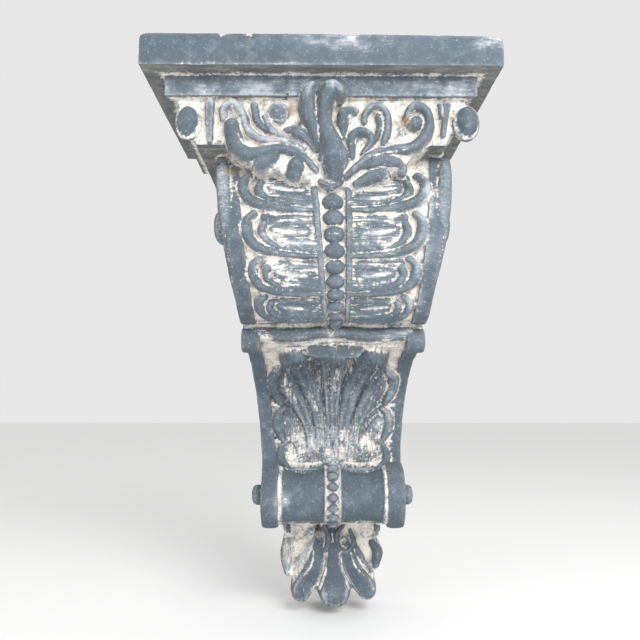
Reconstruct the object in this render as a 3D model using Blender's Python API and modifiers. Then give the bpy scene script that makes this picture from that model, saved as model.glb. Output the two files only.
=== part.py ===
"""A cast console corbel: a moulded shelf over a double scroll, with a roll and a hanging leaf.

The wall face lies in the plane y = 0 and the corbel stands out from it towards -y.
Sizes are in metres. A depth is a distance out from the wall, and a height is a z.
"""

import math

import bmesh
import bpy
from mathutils import Matrix, Vector

# Shelf and mouldings, from the top down
SHELF_TOP = 0.300
SHELF_WIDTH = 0.360
SHELF_DEPTH = 0.250
SHELF_HEIGHT = 0.033
SHELF_EDGE = 0.002
SHELF_OVERHANG = 0.0215
FASCIA_HEIGHT = 0.0215
FASCIA_STEP = 0.008
FRIEZE_HEIGHT = 0.0455
FRIEZE_SIDE_TAPER = 0.022
FRIEZE_FRONT_TAPER = 0.008

# The two scrolls
SCROLL_OFFSET = 0.0135
SCROLL_TOP_WIDTH = 0.2387
SCROLL_FOOT_WIDTH = 0.156
UPPER_SCROLL_HEIGHT = 0.179
LOWER_SCROLL_HEIGHT = 0.186
TOP_DEPTH = 0.185
BULGE_DEPTH = 0.215
WAIST_DEPTH = 0.157
HOLLOW_DEPTH = 0.055
HOLLOW_LIP_DEPTH = 0.140
FIELD_RECESS = 0.004
RIM_WIDTH = 0.016
RIM_BAND = 0.030
FLANK_INSET = 0.0015
HOLLOW_LIFT = 0.012
HOLLOW_END_SHARE = 0.45
HOLLOW_SINK_SHARE = 0.2
FOOT_CUT_SHARE = 0.8
FOOT_DROP_SHARE = 1.3

# Volute on each side of the upper scroll
EYE_DEPTH = 0.115
EYE_BELOW_SOFFIT = 0.060
EYE_RADIUS = 0.021
EYE_STANDS_OUT = 0.024
EYE_EDGE = 0.006
EYE_RING_RADIUS = 0.0335
EYE_RING_EDGE = 0.003
VOLUTE_QUARTER_SHARE = 0.80
VOLUTE_BAND_RADIUS = 0.0085
VOLUTE_STANDS_OUT = 0.008
VOLUTE_QUARTERS = 5.6
VOLUTE_QUARTER_STEPS = 4
VOLUTE_TAIL_SHARE = 0.25

# Rib with its beads down the upper scroll
RIB_TOP_WIDTH_SHARE = 0.200
RIB_FOOT_WIDTH_SHARE = 0.140
RIB_TOP_SHARE = 0.17
RIB_FOOT_SHARE = 0.96
FILLET_WIDTH = 0.0045
FILLET_RISE = 0.0045
RIB_BEADS = 11
RIB_BEAD_WIDTH = 0.021
RIB_BEAD_RISE = 0.007
RIB_BEAD_NARROWING_SHARE = 0.28
RIB_BEAD_TOP_SHARE = 0.265
RIB_BEAD_TOP_PITCH_SHARE = 0.086
RIB_BEAD_FOOT_PITCH_SHARE = 0.044
RIB_BEAD_PITCH_POWER = 1.3
RIB_BEAD_LENGTH_SHARE = 1.08

# Carved lobes beside the rib
LOBE_FOOT_SHARES = (0.363, 0.582, 0.763, 0.925)
LOBE_TOP_SHARE = 0.135
LOBE_EDGE_WIDTH = 0.0055
LOBE_RISE = 0.0075

# End rolls, band and foot roll
END_ROLL_RADIUS = 0.0135
END_ROLL_GAP = 0.0025
END_ROLL_EXTRA = 0.002
END_ROLL_EDGE = 0.001
BAND_RADIUS = 0.0095
BAND_DROP = 0.0076
ROLL_DEPTH = 0.1055
ROLL_RADIUS = 0.0345
ROLL_CHEEK = 0.0180
ROLL_FILLET = 0.0045
ROLL_FILLET_DROP = 0.0025
ROLL_EDGE = 0.002
SPOOL_DROP = 0.003
SPOOL_DIP = 0.0065
SPOOL_POWER = 0.8
SPOOL_STEPS = 5
ROLL_SIDES = 22
BELT_WIDTH = 0.0185
BELT_DROP = 0.0045
BELT_BEADS = 7
BELT_BEAD_STEP = math.radians(20)
BELT_BEAD_START = math.radians(78)
BELT_BEAD_LENGTH = 0.0115
BELT_BEAD_WIDTH = 0.01265
BELT_BEAD_RISE = 0.0048
BOSS_RADIUS = 0.011
BOSS_STANDS_OUT = 0.012
BOSS_EDGE = 0.003

# Hanging leaf
LEAF_DROP = 0.135
LEAF_WIDTH = 0.116
LEAF_DEPTH = 0.040
LEAF_RISE = 0.018
LEAF_THINNING_SHARE = 0.25

# Foliage on the frieze and the palmette in the hollow
FOLIAGE_WIDTH = 0.009
FOLIAGE_RISE = 0.010
PALMETTE_WIDTH = 0.010
PALMETTE_RISE = 0.010

# How far carving runs into what carries it
SEAT = 0.006
OVERLAP = 0.004

# How near a stroke's last section comes to its very end, as a share of its length
STROKE_END_SHARE = 0.01

# How far before and behind a section the direction of a stroke is taken
STROKE_LOOK_SHARE = 0.02

# Half of the cut that a turned step is spread over
TURNED_SLIP = 0.0002

# How near two points are merged
MERGE = 0.00001

# Places across a leaf where its surface has a point: a dome, or a plain ridge on narrow ones
DOME = (-1.0, -0.55, 0.0, 0.55, 1.0)
RIDGE = (-1.0, 0.0, 1.0)

SHELF_FLOOR = SHELF_TOP - SHELF_HEIGHT
FASCIA_FLOOR = SHELF_FLOOR - FASCIA_HEIGHT
SOFFIT = FASCIA_FLOOR - FRIEZE_HEIGHT
WAIST = SOFFIT - UPPER_SCROLL_HEIGHT
ROLL_HEIGHT = WAIST - LOWER_SCROLL_HEIGHT
END_ROLL_HEIGHT = WAIST - END_ROLL_GAP - END_ROLL_RADIUS
FASCIA_DEPTH = SHELF_DEPTH - SHELF_OVERHANG
FASCIA_HALF = SHELF_WIDTH / 2 - SHELF_OVERHANG
FRIEZE_DEPTH = FASCIA_DEPTH - FASCIA_STEP
FRIEZE_HALF = FASCIA_HALF - FASCIA_STEP
FOLIAGE_DEPTH = FRIEZE_DEPTH - FRIEZE_FRONT_TAPER / 2
DEEP_SEAT = FOLIAGE_DEPTH - (TOP_DEPTH - FIELD_RECESS) + OVERLAP
HOLLOW_TOP = END_ROLL_HEIGHT - END_ROLL_RADIUS * 0.8
ROLL_TOP = ROLL_HEIGHT + ROLL_RADIUS
HOLLOW_MIDDLE = (HOLLOW_TOP + ROLL_TOP) / 2 - HOLLOW_LIFT
FOOT_HALF = SCROLL_FOOT_WIDTH / 2


def clear_scene():
    for item in list(bpy.data.objects):
        bpy.data.objects.remove(item)


def new_collection(name):
    collection = bpy.data.collections.new(name)
    bpy.context.scene.collection.children.link(collection)
    return collection


def material(name, colour, roughness):
    made = bpy.data.materials.new(name)
    made.use_nodes = True
    shader = made.node_tree.nodes["Principled BSDF"]
    shader.inputs["Base Color"].default_value = (*colour, 1.0)
    shader.inputs["Roughness"].default_value = roughness
    shader.inputs["Metallic"].default_value = 0.0
    return made


def add_mesh(name, bm, collection):
    bmesh.ops.recalc_face_normals(bm, faces=bm.faces[:])
    mesh = bpy.data.meshes.new(name)
    bm.to_mesh(mesh)
    bm.free()
    made = bpy.data.objects.new(name, mesh)
    collection.objects.link(made)
    return made


def ellipse_quarter(centre, reach, start, steps):
    """Points of a quarter ellipse, as (depth, height), from angle start on by 90 degrees."""
    points = []
    for step in range(steps + 1):
        angle = start + math.pi / 2 * step / steps
        points.append((centre[0] + reach[0] * math.cos(angle), centre[1] + reach[1] * math.sin(angle)))
    return points


def upper_profile(steps=16):
    """Front line of the upper scroll from the soffit to the waist."""
    middle = (SOFFIT + WAIST) / 2
    reach = (SOFFIT - WAIST) / 2
    points = []
    for step in range(steps + 1):
        angle = math.pi * (step / steps - 0.5)
        if angle < 0:
            depth = TOP_DEPTH + (BULGE_DEPTH - TOP_DEPTH) * math.cos(math.pi / 2 * math.sin(angle))
        else:
            depth = WAIST_DEPTH + (BULGE_DEPTH - WAIST_DEPTH) * math.cos(angle)
        points.append((depth, middle - reach * math.sin(angle)))
    return points


def hollow_profile(steps=7):
    """Front line of the lower scroll from the end roll to the top of the foot roll."""
    upper = ellipse_quarter(
        (HOLLOW_LIP_DEPTH, HOLLOW_MIDDLE),
        (HOLLOW_LIP_DEPTH - HOLLOW_DEPTH, HOLLOW_TOP - HOLLOW_MIDDLE),
        math.pi / 2,
        steps,
    )
    lip = ROLL_DEPTH - ROLL_RADIUS * HOLLOW_END_SHARE
    lower = ellipse_quarter(
        (lip, HOLLOW_MIDDLE),
        (lip - HOLLOW_DEPTH, HOLLOW_MIDDLE - ROLL_TOP + ROLL_RADIUS * HOLLOW_SINK_SHARE),
        math.pi,
        steps,
    )
    return upper + lower[1:]


class Line:
    """A side profile that is walked by a share of its length."""

    def __init__(self, points):
        self.points = [Vector(point) for point in points]
        self.lengths = [0.0]
        for first, second in zip(self.points, self.points[1:]):
            self.lengths.append(self.lengths[-1] + (second - first).length)

    def at(self, share):
        """The point at this share, and the direction that faces out of the profile."""
        wanted = share * self.lengths[-1]
        index = 1
        while index < len(self.lengths) - 1 and self.lengths[index] < wanted:
            index += 1
        first, second = self.points[index - 1], self.points[index]
        run = self.lengths[index] - self.lengths[index - 1]
        point = first.lerp(second, (wanted - self.lengths[index - 1]) / run)
        along = (second - first).normalized()
        return point, Vector((-along.y, along.x))


UPPER_LINE = Line(upper_profile(48))
HOLLOW_LINE = Line(hollow_profile(24))


def scroll_half(height):
    """Half the scroll's width, which tapers evenly from the soffit to the foot roll."""
    share = (height - ROLL_HEIGHT) / (SOFFIT - ROLL_HEIGHT)
    return (SCROLL_FOOT_WIDTH + (SCROLL_TOP_WIDTH - SCROLL_FOOT_WIDTH) * share) / 2


def on_line(line, across, share, lift):
    """A place on a scroll's sunk field, across as a share of the field's half width."""
    point, outward = line.at(share)
    place = point + outward * (lift - FIELD_RECESS)
    return Vector((SCROLL_OFFSET + across * (scroll_half(point.y) - RIM_WIDTH), -place.x, place.y))


def on_upper(across, share, lift):
    return on_line(UPPER_LINE, across, share, lift)


def on_hollow(across, share, lift):
    return on_line(HOLLOW_LINE, across, share, lift)


def on_frieze(across, share, lift):
    """A place on the frieze: shares of its half width and of its height above the soffit."""
    return Vector((across * FRIEZE_HALF, -(FOLIAGE_DEPTH + lift), SOFFIT + share * FRIEZE_HEIGHT))


def on_leaf(across, share, lift):
    """A place on the hanging leaf: shares of its half width and of its drop below the foot roll."""
    side = SCROLL_OFFSET + across * LEAF_WIDTH / 2
    return Vector((side, -(LEAF_DEPTH + lift), ROLL_HEIGHT - share * LEAF_DROP))


def through(points, share):
    """A point on the smooth curve through the given pairs."""
    spans = len(points) - 1
    index = min(int(share * spans), spans - 1)
    part = share * spans - index
    before = Vector(points[max(index - 1, 0)])
    first = Vector(points[index])
    second = Vector(points[index + 1])
    after = Vector(points[min(index + 2, spans)])
    return 0.5 * (
        2 * first
        + (second - before) * part
        + (2 * before - 5 * first + 4 * second - after) * part**2
        + (3 * first - before - 3 * second + after) * part**3
    )


def between(values, share):
    """A value on the parabola through a first, middle and last value."""
    first, middle, last = values
    rest = 1 - share
    return first * rest * (1 - 2 * share) + 4 * middle * share * rest + last * share * (2 * share - 1)


class Carver:
    """Adds carved pieces to one collection, to be joined to the body."""

    def __init__(self, collection):
        self.collection = collection
        self.count = 0

    def name(self, what):
        self.count += 1
        return f"{what}_{self.count}"

    def leaf(self, what, place, path, widths, rises, stations=6, seat=SEAT, sections=DOME):
        """A domed stroke laid along a path on a face: half widths and rises at base, middle and tip."""
        bm = bmesh.new()
        rings = []
        for station in range(stations):
            even = station / (stations - 1)
            crowded = 0.5 - 0.5 * math.cos(math.pi * even)
            share = STROKE_END_SHARE + (1 - 2 * STROKE_END_SHARE) * (even + crowded) / 2
            spot = through(path, share)
            ahead = through(path, min(share + STROKE_LOOK_SHARE, 1))
            behind = through(path, max(share - STROKE_LOOK_SHARE, 0))
            ground = place(spot.x, spot.y, 0)
            outward = (place(spot.x, spot.y, 1) - ground).normalized()
            along = place(ahead.x, ahead.y, 0) - place(behind.x, behind.y, 0)
            side = along.cross(outward).normalized()
            rounding = (1 - abs(2 * share - 1) ** 4) ** 0.5
            width = between(widths, share) * rounding
            rise = between(rises, share) * (0.4 + 0.6 * rounding)
            ring = [
                ground + side * width * section + outward * rise * (1 - section**2)
                for section in sections
            ]
            ring.append(ground + side * width - outward * seat)
            ring.append(ground - side * width - outward * seat)
            rings.append([bm.verts.new(point) for point in ring])
        for first, second in zip(rings, rings[1:]):
            for index in range(len(first)):
                following = (index + 1) % len(first)
                bm.faces.new((first[index], first[following], second[following], second[index]))
        bm.faces.new(rings[0])
        bm.faces.new(rings[-1])
        return add_mesh(self.name(what), bm, self.collection)

    def bead(self, what, centre, outward, size, rise):
        """A flattened ball, half sunk, whose rise points outward."""
        bm = bmesh.new()
        bmesh.ops.create_uvsphere(bm, u_segments=8, v_segments=6, radius=1.0)
        turn = Vector((0, 0, 1)).rotation_difference(outward).to_matrix().to_4x4()
        scale = Matrix.Diagonal((size[0] / 2, size[1] / 2, rise, 1))
        bmesh.ops.transform(bm, matrix=Matrix.Translation(centre) @ turn @ scale, verts=bm.verts[:])
        return add_mesh(self.name(what), bm, self.collection)

    def drum(self, what, centre, radius, length, segments=16, edge=0.0):
        """A cylinder across the corbel, with its rims eased by edge."""
        bm = bmesh.new()
        bmesh.ops.create_cone(
            bm, cap_ends=True, segments=segments, radius1=radius, radius2=radius, depth=length
        )
        if edge:
            rims = [line for line in bm.edges if abs(line.verts[0].co.z - line.verts[1].co.z) < edge]
            bmesh.ops.bevel(bm, geom=rims, offset=edge, segments=1, affect="EDGES")
        turn = Matrix.Rotation(math.pi / 2, 4, "Y")
        bmesh.ops.transform(bm, matrix=Matrix.Translation(centre) @ turn, verts=bm.verts[:])
        return add_mesh(self.name(what), bm, self.collection)

    def sheet(self, what, outline, left, right):
        """A side outline of (depth, height) pairs, filled and drawn out between two side functions."""
        data = bpy.data.curves.new(what, "CURVE")
        data.dimensions = "2D"
        data.fill_mode = "BOTH"
        data.extrude = 0.5
        spline = data.splines.new("POLY")
        spline.points.add(len(outline) - 1)
        for point, (depth, height) in zip(spline.points, outline):
            point.co = (depth, height, 0, 1)
        spline.use_cyclic_u = True
        curve = bpy.data.objects.new(what, data)
        self.collection.objects.link(curve)
        graph = bpy.context.evaluated_depsgraph_get()
        mesh = bpy.data.meshes.new_from_object(curve.evaluated_get(graph))
        bpy.data.objects.remove(curve)
        bm = bmesh.new()
        bm.from_mesh(mesh)
        bpy.data.meshes.remove(mesh)
        bmesh.ops.remove_doubles(bm, verts=bm.verts[:], dist=MERGE)
        for vert in bm.verts:
            depth, height, side = vert.co
            across = right(height) if side > 0 else left(height)
            vert.co = (across, -depth, height)
        return add_mesh(self.name(what), bm, self.collection)


def block(name, half, depth, floor, top, collection, taper=(0.0, 0.0)):
    """A block against the wall, narrower below by taper at the sides and the front."""
    bm = bmesh.new()
    bmesh.ops.create_cube(bm, size=1.0)
    for vert in bm.verts:
        low = vert.co.z < 0
        reach = half - (taper[0] if low else 0)
        front = depth - (taper[1] if low else 0)
        vert.co.x = reach if vert.co.x > 0 else -reach
        vert.co.y = 0.0 if vert.co.y > 0 else -front
        vert.co.z = floor if low else top
    return add_mesh(name, bm, collection)


def build_shelf(carver):
    """The shelf block, the fascia under it and the tapering frieze."""
    shelf = block("shelf", SHELF_WIDTH / 2, SHELF_DEPTH, SHELF_FLOOR, SHELF_TOP, carver.collection)
    bm = bmesh.new()
    bm.from_mesh(shelf.data)
    edges = [edge for edge in bm.edges if min(vert.co.y for vert in edge.verts) < -SHELF_EDGE]
    edges = [edge for edge in edges if max(vert.co.y for vert in edge.verts) < 0]
    bmesh.ops.bevel(bm, geom=edges, offset=SHELF_EDGE, segments=1, affect="EDGES")
    bm.to_mesh(shelf.data)
    bm.free()
    block("fascia", FASCIA_HALF, FASCIA_DEPTH, FASCIA_FLOOR, SHELF_FLOOR + OVERLAP, carver.collection)
    block(
        "frieze",
        FRIEZE_HALF,
        FRIEZE_DEPTH,
        SOFFIT,
        FASCIA_FLOOR + OVERLAP,
        carver.collection,
        (FRIEZE_SIDE_TAPER, FRIEZE_FRONT_TAPER),
    )


def flank(side, inset=0.0):
    """The function that gives a side face's place across at a height."""
    return lambda height: SCROLL_OFFSET + side * (scroll_half(height) - inset)


def build_body(carver):
    """The core of both scrolls, from the soffit to the foot, sunk inside the rims."""
    points = [(0.0, SOFFIT + OVERLAP), (TOP_DEPTH - FIELD_RECESS, SOFFIT + OVERLAP)]
    points += [(depth - FIELD_RECESS, height) for depth, height in upper_profile(14)]
    points.append((WAIST_DEPTH - RIM_BAND / 2, END_ROLL_HEIGHT))
    points += [(depth - FIELD_RECESS, height) for depth, height in hollow_profile(6)]
    points.append((ROLL_DEPTH - ROLL_RADIUS / 2, ROLL_HEIGHT))
    points.append((ROLL_DEPTH - ROLL_RADIUS, ROLL_HEIGHT - ROLL_RADIUS * FOOT_CUT_SHARE))
    points.append((LEAF_DEPTH, ROLL_HEIGHT - ROLL_RADIUS * FOOT_DROP_SHARE))
    points.append((0.0, ROLL_HEIGHT - ROLL_RADIUS * FOOT_DROP_SHARE))
    return carver.sheet("body", points, flank(-1, FLANK_INSET), flank(1, FLANK_INSET))


def banded(points, band):
    """A band's outline: the profile, and back along it at this distance inside."""
    line = Line(points)
    inner = []
    for step in range(len(points)):
        point, outward = line.at(1 - step / (len(points) - 1))
        inner.append(tuple(point - outward * band))
    return list(points) + inner


def build_rims(carver):
    """The plain raised border down each side of both scrolls, with its end rolls."""
    upper = banded([(TOP_DEPTH, SOFFIT + OVERLAP)] + upper_profile(14), RIM_BAND)
    lower = banded(hollow_profile(6), RIM_BAND)
    for side in (-1, 1):
        outer, inner = flank(side), flank(side, RIM_WIDTH)
        left, right = (outer, inner) if side < 0 else (inner, outer)
        carver.sheet("upper_rim", upper, left, right)
        carver.sheet("lower_rim", lower, left, right)
        centre = SCROLL_OFFSET + side * (scroll_half(END_ROLL_HEIGHT) - RIM_WIDTH / 2)
        depth = WAIST_DEPTH - END_ROLL_RADIUS + END_ROLL_EXTRA
        length = RIM_WIDTH + END_ROLL_EXTRA
        place = (centre, -depth, END_ROLL_HEIGHT)
        carver.drum("end_roll", place, END_ROLL_RADIUS, length, 14, END_ROLL_EDGE)


def volute_path(side):
    """Points of the spiral on one flank, from the waist round to the eye, with its growth."""
    eye = SOFFIT - EYE_BELOW_SOFFIT
    start = Vector((WAIST_DEPTH - VOLUTE_BAND_RADIUS - EYE_DEPTH, WAIST + VOLUTE_BAND_RADIUS * 1.5 - eye))
    angle = math.atan2(start.y, start.x)
    points = []
    for step in range(int(VOLUTE_QUARTERS * VOLUTE_QUARTER_STEPS) + 1):
        turn = step / VOLUTE_QUARTER_STEPS
        radius = start.length * VOLUTE_QUARTER_SHARE**turn
        bearing = angle + math.pi / 2 * turn
        depth = EYE_DEPTH + radius * math.cos(bearing)
        height = eye + radius * math.sin(bearing)
        across = SCROLL_OFFSET + side * (scroll_half(height) + VOLUTE_STANDS_OUT - VOLUTE_BAND_RADIUS)
        tail = min(1.0, VOLUTE_TAIL_SHARE + turn)
        points.append(((across, -depth, height), tail * (0.5 + 0.5 * VOLUTE_QUARTER_SHARE**turn)))
    return points


def build_volutes(carver):
    """A spiral band and a domed eye on each side of the upper scroll."""
    for side in (-1, 1):
        data = bpy.data.curves.new("volute", "CURVE")
        data.dimensions = "3D"
        data.bevel_depth = VOLUTE_BAND_RADIUS
        data.bevel_resolution = 1
        data.use_fill_caps = True
        points = volute_path(side)
        spline = data.splines.new("POLY")
        spline.points.add(len(points) - 1)
        for point, (place, size) in zip(spline.points, points):
            point.co = (*place, 1)
            point.radius = size
        curve = bpy.data.objects.new("volute", data)
        carver.collection.objects.link(curve)
        graph = bpy.context.evaluated_depsgraph_get()
        mesh = bpy.data.meshes.new_from_object(curve.evaluated_get(graph))
        bpy.data.objects.remove(curve)
        bm = bmesh.new()
        bm.from_mesh(mesh)
        bpy.data.meshes.remove(mesh)
        bmesh.ops.remove_doubles(bm, verts=bm.verts[:], dist=MERGE)
        add_mesh(carver.name("volute"), bm, carver.collection)

        eye = SOFFIT - EYE_BELOW_SOFFIT
        face = scroll_half(eye)
        for radius, reach, edge in (
            (EYE_RING_RADIUS, VOLUTE_STANDS_OUT, EYE_RING_EDGE),
            (EYE_RADIUS, EYE_STANDS_OUT, EYE_EDGE),
        ):
            length = reach + SEAT
            centre = SCROLL_OFFSET + side * (face - SEAT + length / 2)
            carver.drum("eye", (centre, -EYE_DEPTH, eye), radius, length, 14, edge)


def build_rib(carver):
    """Two fillets down the middle of the upper scroll with a string of beads between them."""
    for side in (-1, 1):
        path = []
        for step in range(5):
            across = RIB_TOP_WIDTH_SHARE + (RIB_FOOT_WIDTH_SHARE - RIB_TOP_WIDTH_SHARE) * step / 4
            path.append((side * across, RIB_TOP_SHARE + (RIB_FOOT_SHARE - RIB_TOP_SHARE) * step / 4))
        half = (FILLET_WIDTH / 2,) * 3
        carver.leaf("fillet", on_upper, path, half, (FILLET_RISE,) * 3, stations=9, sections=RIDGE)
    length = UPPER_LINE.lengths[-1]
    share = RIB_BEAD_TOP_SHARE
    for index in range(RIB_BEADS):
        place = index / (RIB_BEADS - 1)
        width = RIB_BEAD_WIDTH * (1 - RIB_BEAD_NARROWING_SHARE * place)
        closing = (RIB_BEAD_TOP_PITCH_SHARE - RIB_BEAD_FOOT_PITCH_SHARE) * place**RIB_BEAD_PITCH_POWER
        pitch = RIB_BEAD_TOP_PITCH_SHARE - closing
        share += pitch / 2
        centre = on_upper(0, share, 0)
        outward = (on_upper(0, share, 1) - centre).normalized()
        size = (width, pitch * length * RIB_BEAD_LENGTH_SHARE)
        carver.bead("rib_bead", centre, outward, size, RIB_BEAD_RISE)
        share += pitch / 2


def build_lobes(carver):
    """Four curled lobes on each side of the rib, each with a thick outer edge and an inner one."""
    length = UPPER_LINE.lengths[-1]
    for side in (-1, 1):
        top = LOBE_TOP_SHARE
        for foot in LOBE_FOOT_SHARES:
            pitch = foot - top
            body = [(0.24, 0.46), (0.55, 0.50), (0.84, 0.62)]
            outer = [(0.90, 1.02), (0.98, 0.76), (0.96, 0.42), (0.85, 0.18), (0.64, 0.06), (0.22, 0.02)]
            inner = [(0.82, 0.80), (0.84, 0.52), (0.77, 0.28), (0.58, 0.14)]
            edge = LOBE_EDGE_WIDTH
            for what, shape, widths, rises, stations in (
                ("lobe", body, (0.3, 0.34, 0.26), (0.4, 0.45, 0.3), 4),
                ("lobe_edge", outer, None, (1.0, 1.1, 0.6), 8),
                ("lobe_inner", inner, None, (0.8, 0.85, 0.5), 5),
            ):
                path = [(side * across, foot - up * pitch) for across, up in shape]
                if widths:
                    half = tuple(width * pitch * length for width in widths)
                elif what == "lobe_edge":
                    half = (edge * 0.8, edge, edge * 0.5)
                else:
                    half = (edge * 0.55, edge * 0.7, edge * 0.5)
                rise = tuple(LOBE_RISE * value for value in rises)
                sections = DOME if widths else RIDGE
                carver.leaf(what, on_upper, path, half, rise, stations, sections=sections)
            top = foot


def build_waist(carver):
    """The round band across the waist, between the end rolls."""
    half = scroll_half(WAIST) - RIM_WIDTH + OVERLAP
    depth = WAIST_DEPTH - BAND_RADIUS
    centre = (SCROLL_OFFSET, -depth, WAIST - BAND_DROP)
    carver.drum("band", centre, BAND_RADIUS, 2 * half, 14)


def build_palmette(carver):
    """The fan of fluted leaves in the hollow, its tips curling forward."""
    fan = (
        ([(0.0, 0.93), (0.0, 0.5), (0.0, 0.19)], (0.7, 0.8, 2.1), (0.7, 0.7, 1.7)),
        ([(0.12, 0.93), (0.30, 0.52), (0.53, 0.17)], (0.6, 0.9, 1.25), (0.6, 0.8, 1.3)),
        ([(0.26, 0.94), (0.50, 0.62), (0.83, 0.37)], (0.6, 0.95, 1.2), (0.5, 0.7, 1.1)),
        ([(0.40, 0.94), (0.58, 0.78), (0.84, 0.62)], (0.6, 0.85, 1.1), (0.5, 0.6, 1.0)),
        ([(0.50, 0.95), (0.68, 0.88), (0.84, 0.81)], (0.6, 0.75, 0.9), (0.5, 0.6, 0.9)),
    )
    for path, widths, rises in fan:
        for side in (-1, 1) if path[-1][0] else (1,):
            turned = [(side * across, share) for across, share in path]
            half = tuple(PALMETTE_WIDTH * value for value in widths)
            rise = tuple(PALMETTE_RISE * value for value in rises)
            carver.leaf("palmette", on_hollow, turned, half, rise, stations=5)


def roll_radius(across):
    """Radius of the foot roll at a distance across from its middle."""
    belt = BELT_WIDTH / 2
    cheek = FOOT_HALF - ROLL_CHEEK
    spool = cheek - ROLL_FILLET
    if across >= cheek:
        return ROLL_RADIUS
    if across >= spool:
        return ROLL_RADIUS - ROLL_FILLET_DROP
    if across >= belt:
        part = (across - belt) / (spool - belt)
        return ROLL_RADIUS - SPOOL_DROP - SPOOL_DIP * math.sin(math.pi * part) ** SPOOL_POWER
    return ROLL_RADIUS - BELT_DROP


def build_roll(carver):
    """The foot roll: two cheeks, two hollow spools and a beaded belt, turned about one axis."""
    belt = BELT_WIDTH / 2
    cheek = FOOT_HALF - ROLL_CHEEK
    spool = cheek - ROLL_FILLET
    slip = TURNED_SLIP
    stops = [0.0, belt - slip, belt + slip]
    stops += [belt + (spool - belt) * part / SPOOL_STEPS for part in range(1, SPOOL_STEPS)]
    stops += [spool - slip, spool + slip, cheek - slip, cheek + slip]
    half = [(stop, roll_radius(stop)) for stop in stops]
    half += [(FOOT_HALF - ROLL_EDGE, ROLL_RADIUS), (FOOT_HALF, ROLL_RADIUS - ROLL_EDGE), (FOOT_HALF, 0.0)]
    profile = list(reversed(half)) + [(-across, radius) for across, radius in half[1:]]
    bm = bmesh.new()
    verts = [bm.verts.new((radius, 0, across)) for across, radius in profile]
    for first, second in zip(verts, verts[1:]):
        bm.edges.new((first, second))
    mesh = bpy.data.meshes.new("roll")
    bm.to_mesh(mesh)
    bm.free()
    roll = bpy.data.objects.new("roll", mesh)
    carver.collection.objects.link(roll)
    roll.location = (SCROLL_OFFSET, -ROLL_DEPTH, ROLL_HEIGHT)
    roll.rotation_euler = (0, math.pi / 2, 0)
    screw = roll.modifiers.new("Turn", "SCREW")
    screw.axis = "Z"
    screw.angle = 2 * math.pi
    screw.steps = ROLL_SIDES
    screw.render_steps = ROLL_SIDES
    screw.use_merge_vertices = True
    screw.merge_threshold = MERGE

    for index in range(BELT_BEADS):
        angle = BELT_BEAD_START - BELT_BEAD_STEP * index
        outward = Vector((0, -math.cos(angle), math.sin(angle)))
        centre = Vector(roll.location) + outward * (ROLL_RADIUS - BELT_DROP)
        carver.bead("belt_bead", centre, outward, (BELT_BEAD_WIDTH, BELT_BEAD_LENGTH), BELT_BEAD_RISE)
    for side in (-1, 1):
        length = BOSS_STANDS_OUT + SEAT
        centre = SCROLL_OFFSET + side * (FOOT_HALF - SEAT + length / 2)
        carver.drum("boss", (centre, -ROLL_DEPTH, ROLL_HEIGHT), BOSS_RADIUS, length, 12, BOSS_EDGE)


def build_leaf(carver):
    """The hanging leaf: a thick lobed ground with raised ribs, lobes and two small curls."""
    outline = [(0.98, 0.2), (0.90, 0.42), (0.92, 0.56), (0.84, 0.72), (0.74, 0.86), (0.55, 0.91)]
    outline += [(0.36, 0.88), (0.20, 0.985), (0.0, 1.0)]
    half = [(across * LEAF_WIDTH / 2, ROLL_HEIGHT - share * LEAF_DROP) for across, share in outline]
    points = half + [(-across, height) for across, height in reversed(half[:-1])]
    bm = bmesh.new()
    face = bm.faces.new([bm.verts.new((SCROLL_OFFSET + across, 0, height)) for across, height in points])
    drawn = bmesh.ops.extrude_face_region(bm, geom=[face])
    for item in drawn["geom"]:
        if isinstance(item, bmesh.types.BMVert):
            share = (ROLL_HEIGHT - item.co.z) / LEAF_DROP
            item.co.y = -LEAF_DEPTH * (1.0 - LEAF_THINNING_SHARE * share)
    bmesh.ops.triangulate(bm, faces=[item for item in bm.faces if len(item.verts) > 4])
    add_mesh(carver.name("leaf_ground"), bm, carver.collection)

    strokes = (
        ([(0.0, 0.40), (0.0, 0.62), (0.0, 0.95)], (0.11, 0.13, 0.30), (1.0, 1.1, 1.3)),
        ([(0.10, 0.44), (0.30, 0.66), (0.62, 0.85)], (0.11, 0.15, 0.19), (0.8, 1.0, 1.0)),
        ([(0.24, 0.40), (0.45, 0.54), (0.78, 0.64)], (0.10, 0.15, 0.20), (0.7, 0.8, 0.7)),
        ([(0.35, 0.32), (0.60, 0.38), (0.80, 0.42)], (0.12, 0.16, 0.18), (0.6, 0.7, 0.6)),
        (
            [(0.12, 0.30), (0.24, 0.33), (0.30, 0.42), (0.20, 0.46), (0.12, 0.42)],
            (0.06, 0.07, 0.06),
            (1.3, 1.4, 1.3),
        ),
    )
    for path, widths, rises in strokes:
        for side in (-1, 1) if path[-1][0] else (1,):
            turned = [(side * across, share) for across, share in path]
            width = tuple(value * LEAF_WIDTH / 2 for value in widths)
            rise = tuple(LEAF_RISE * value for value in rises)
            stations = 2 + len(path)
            carver.leaf("leaf", on_leaf, turned, width, rise, stations, seat=LEAF_DEPTH / 2)


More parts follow.
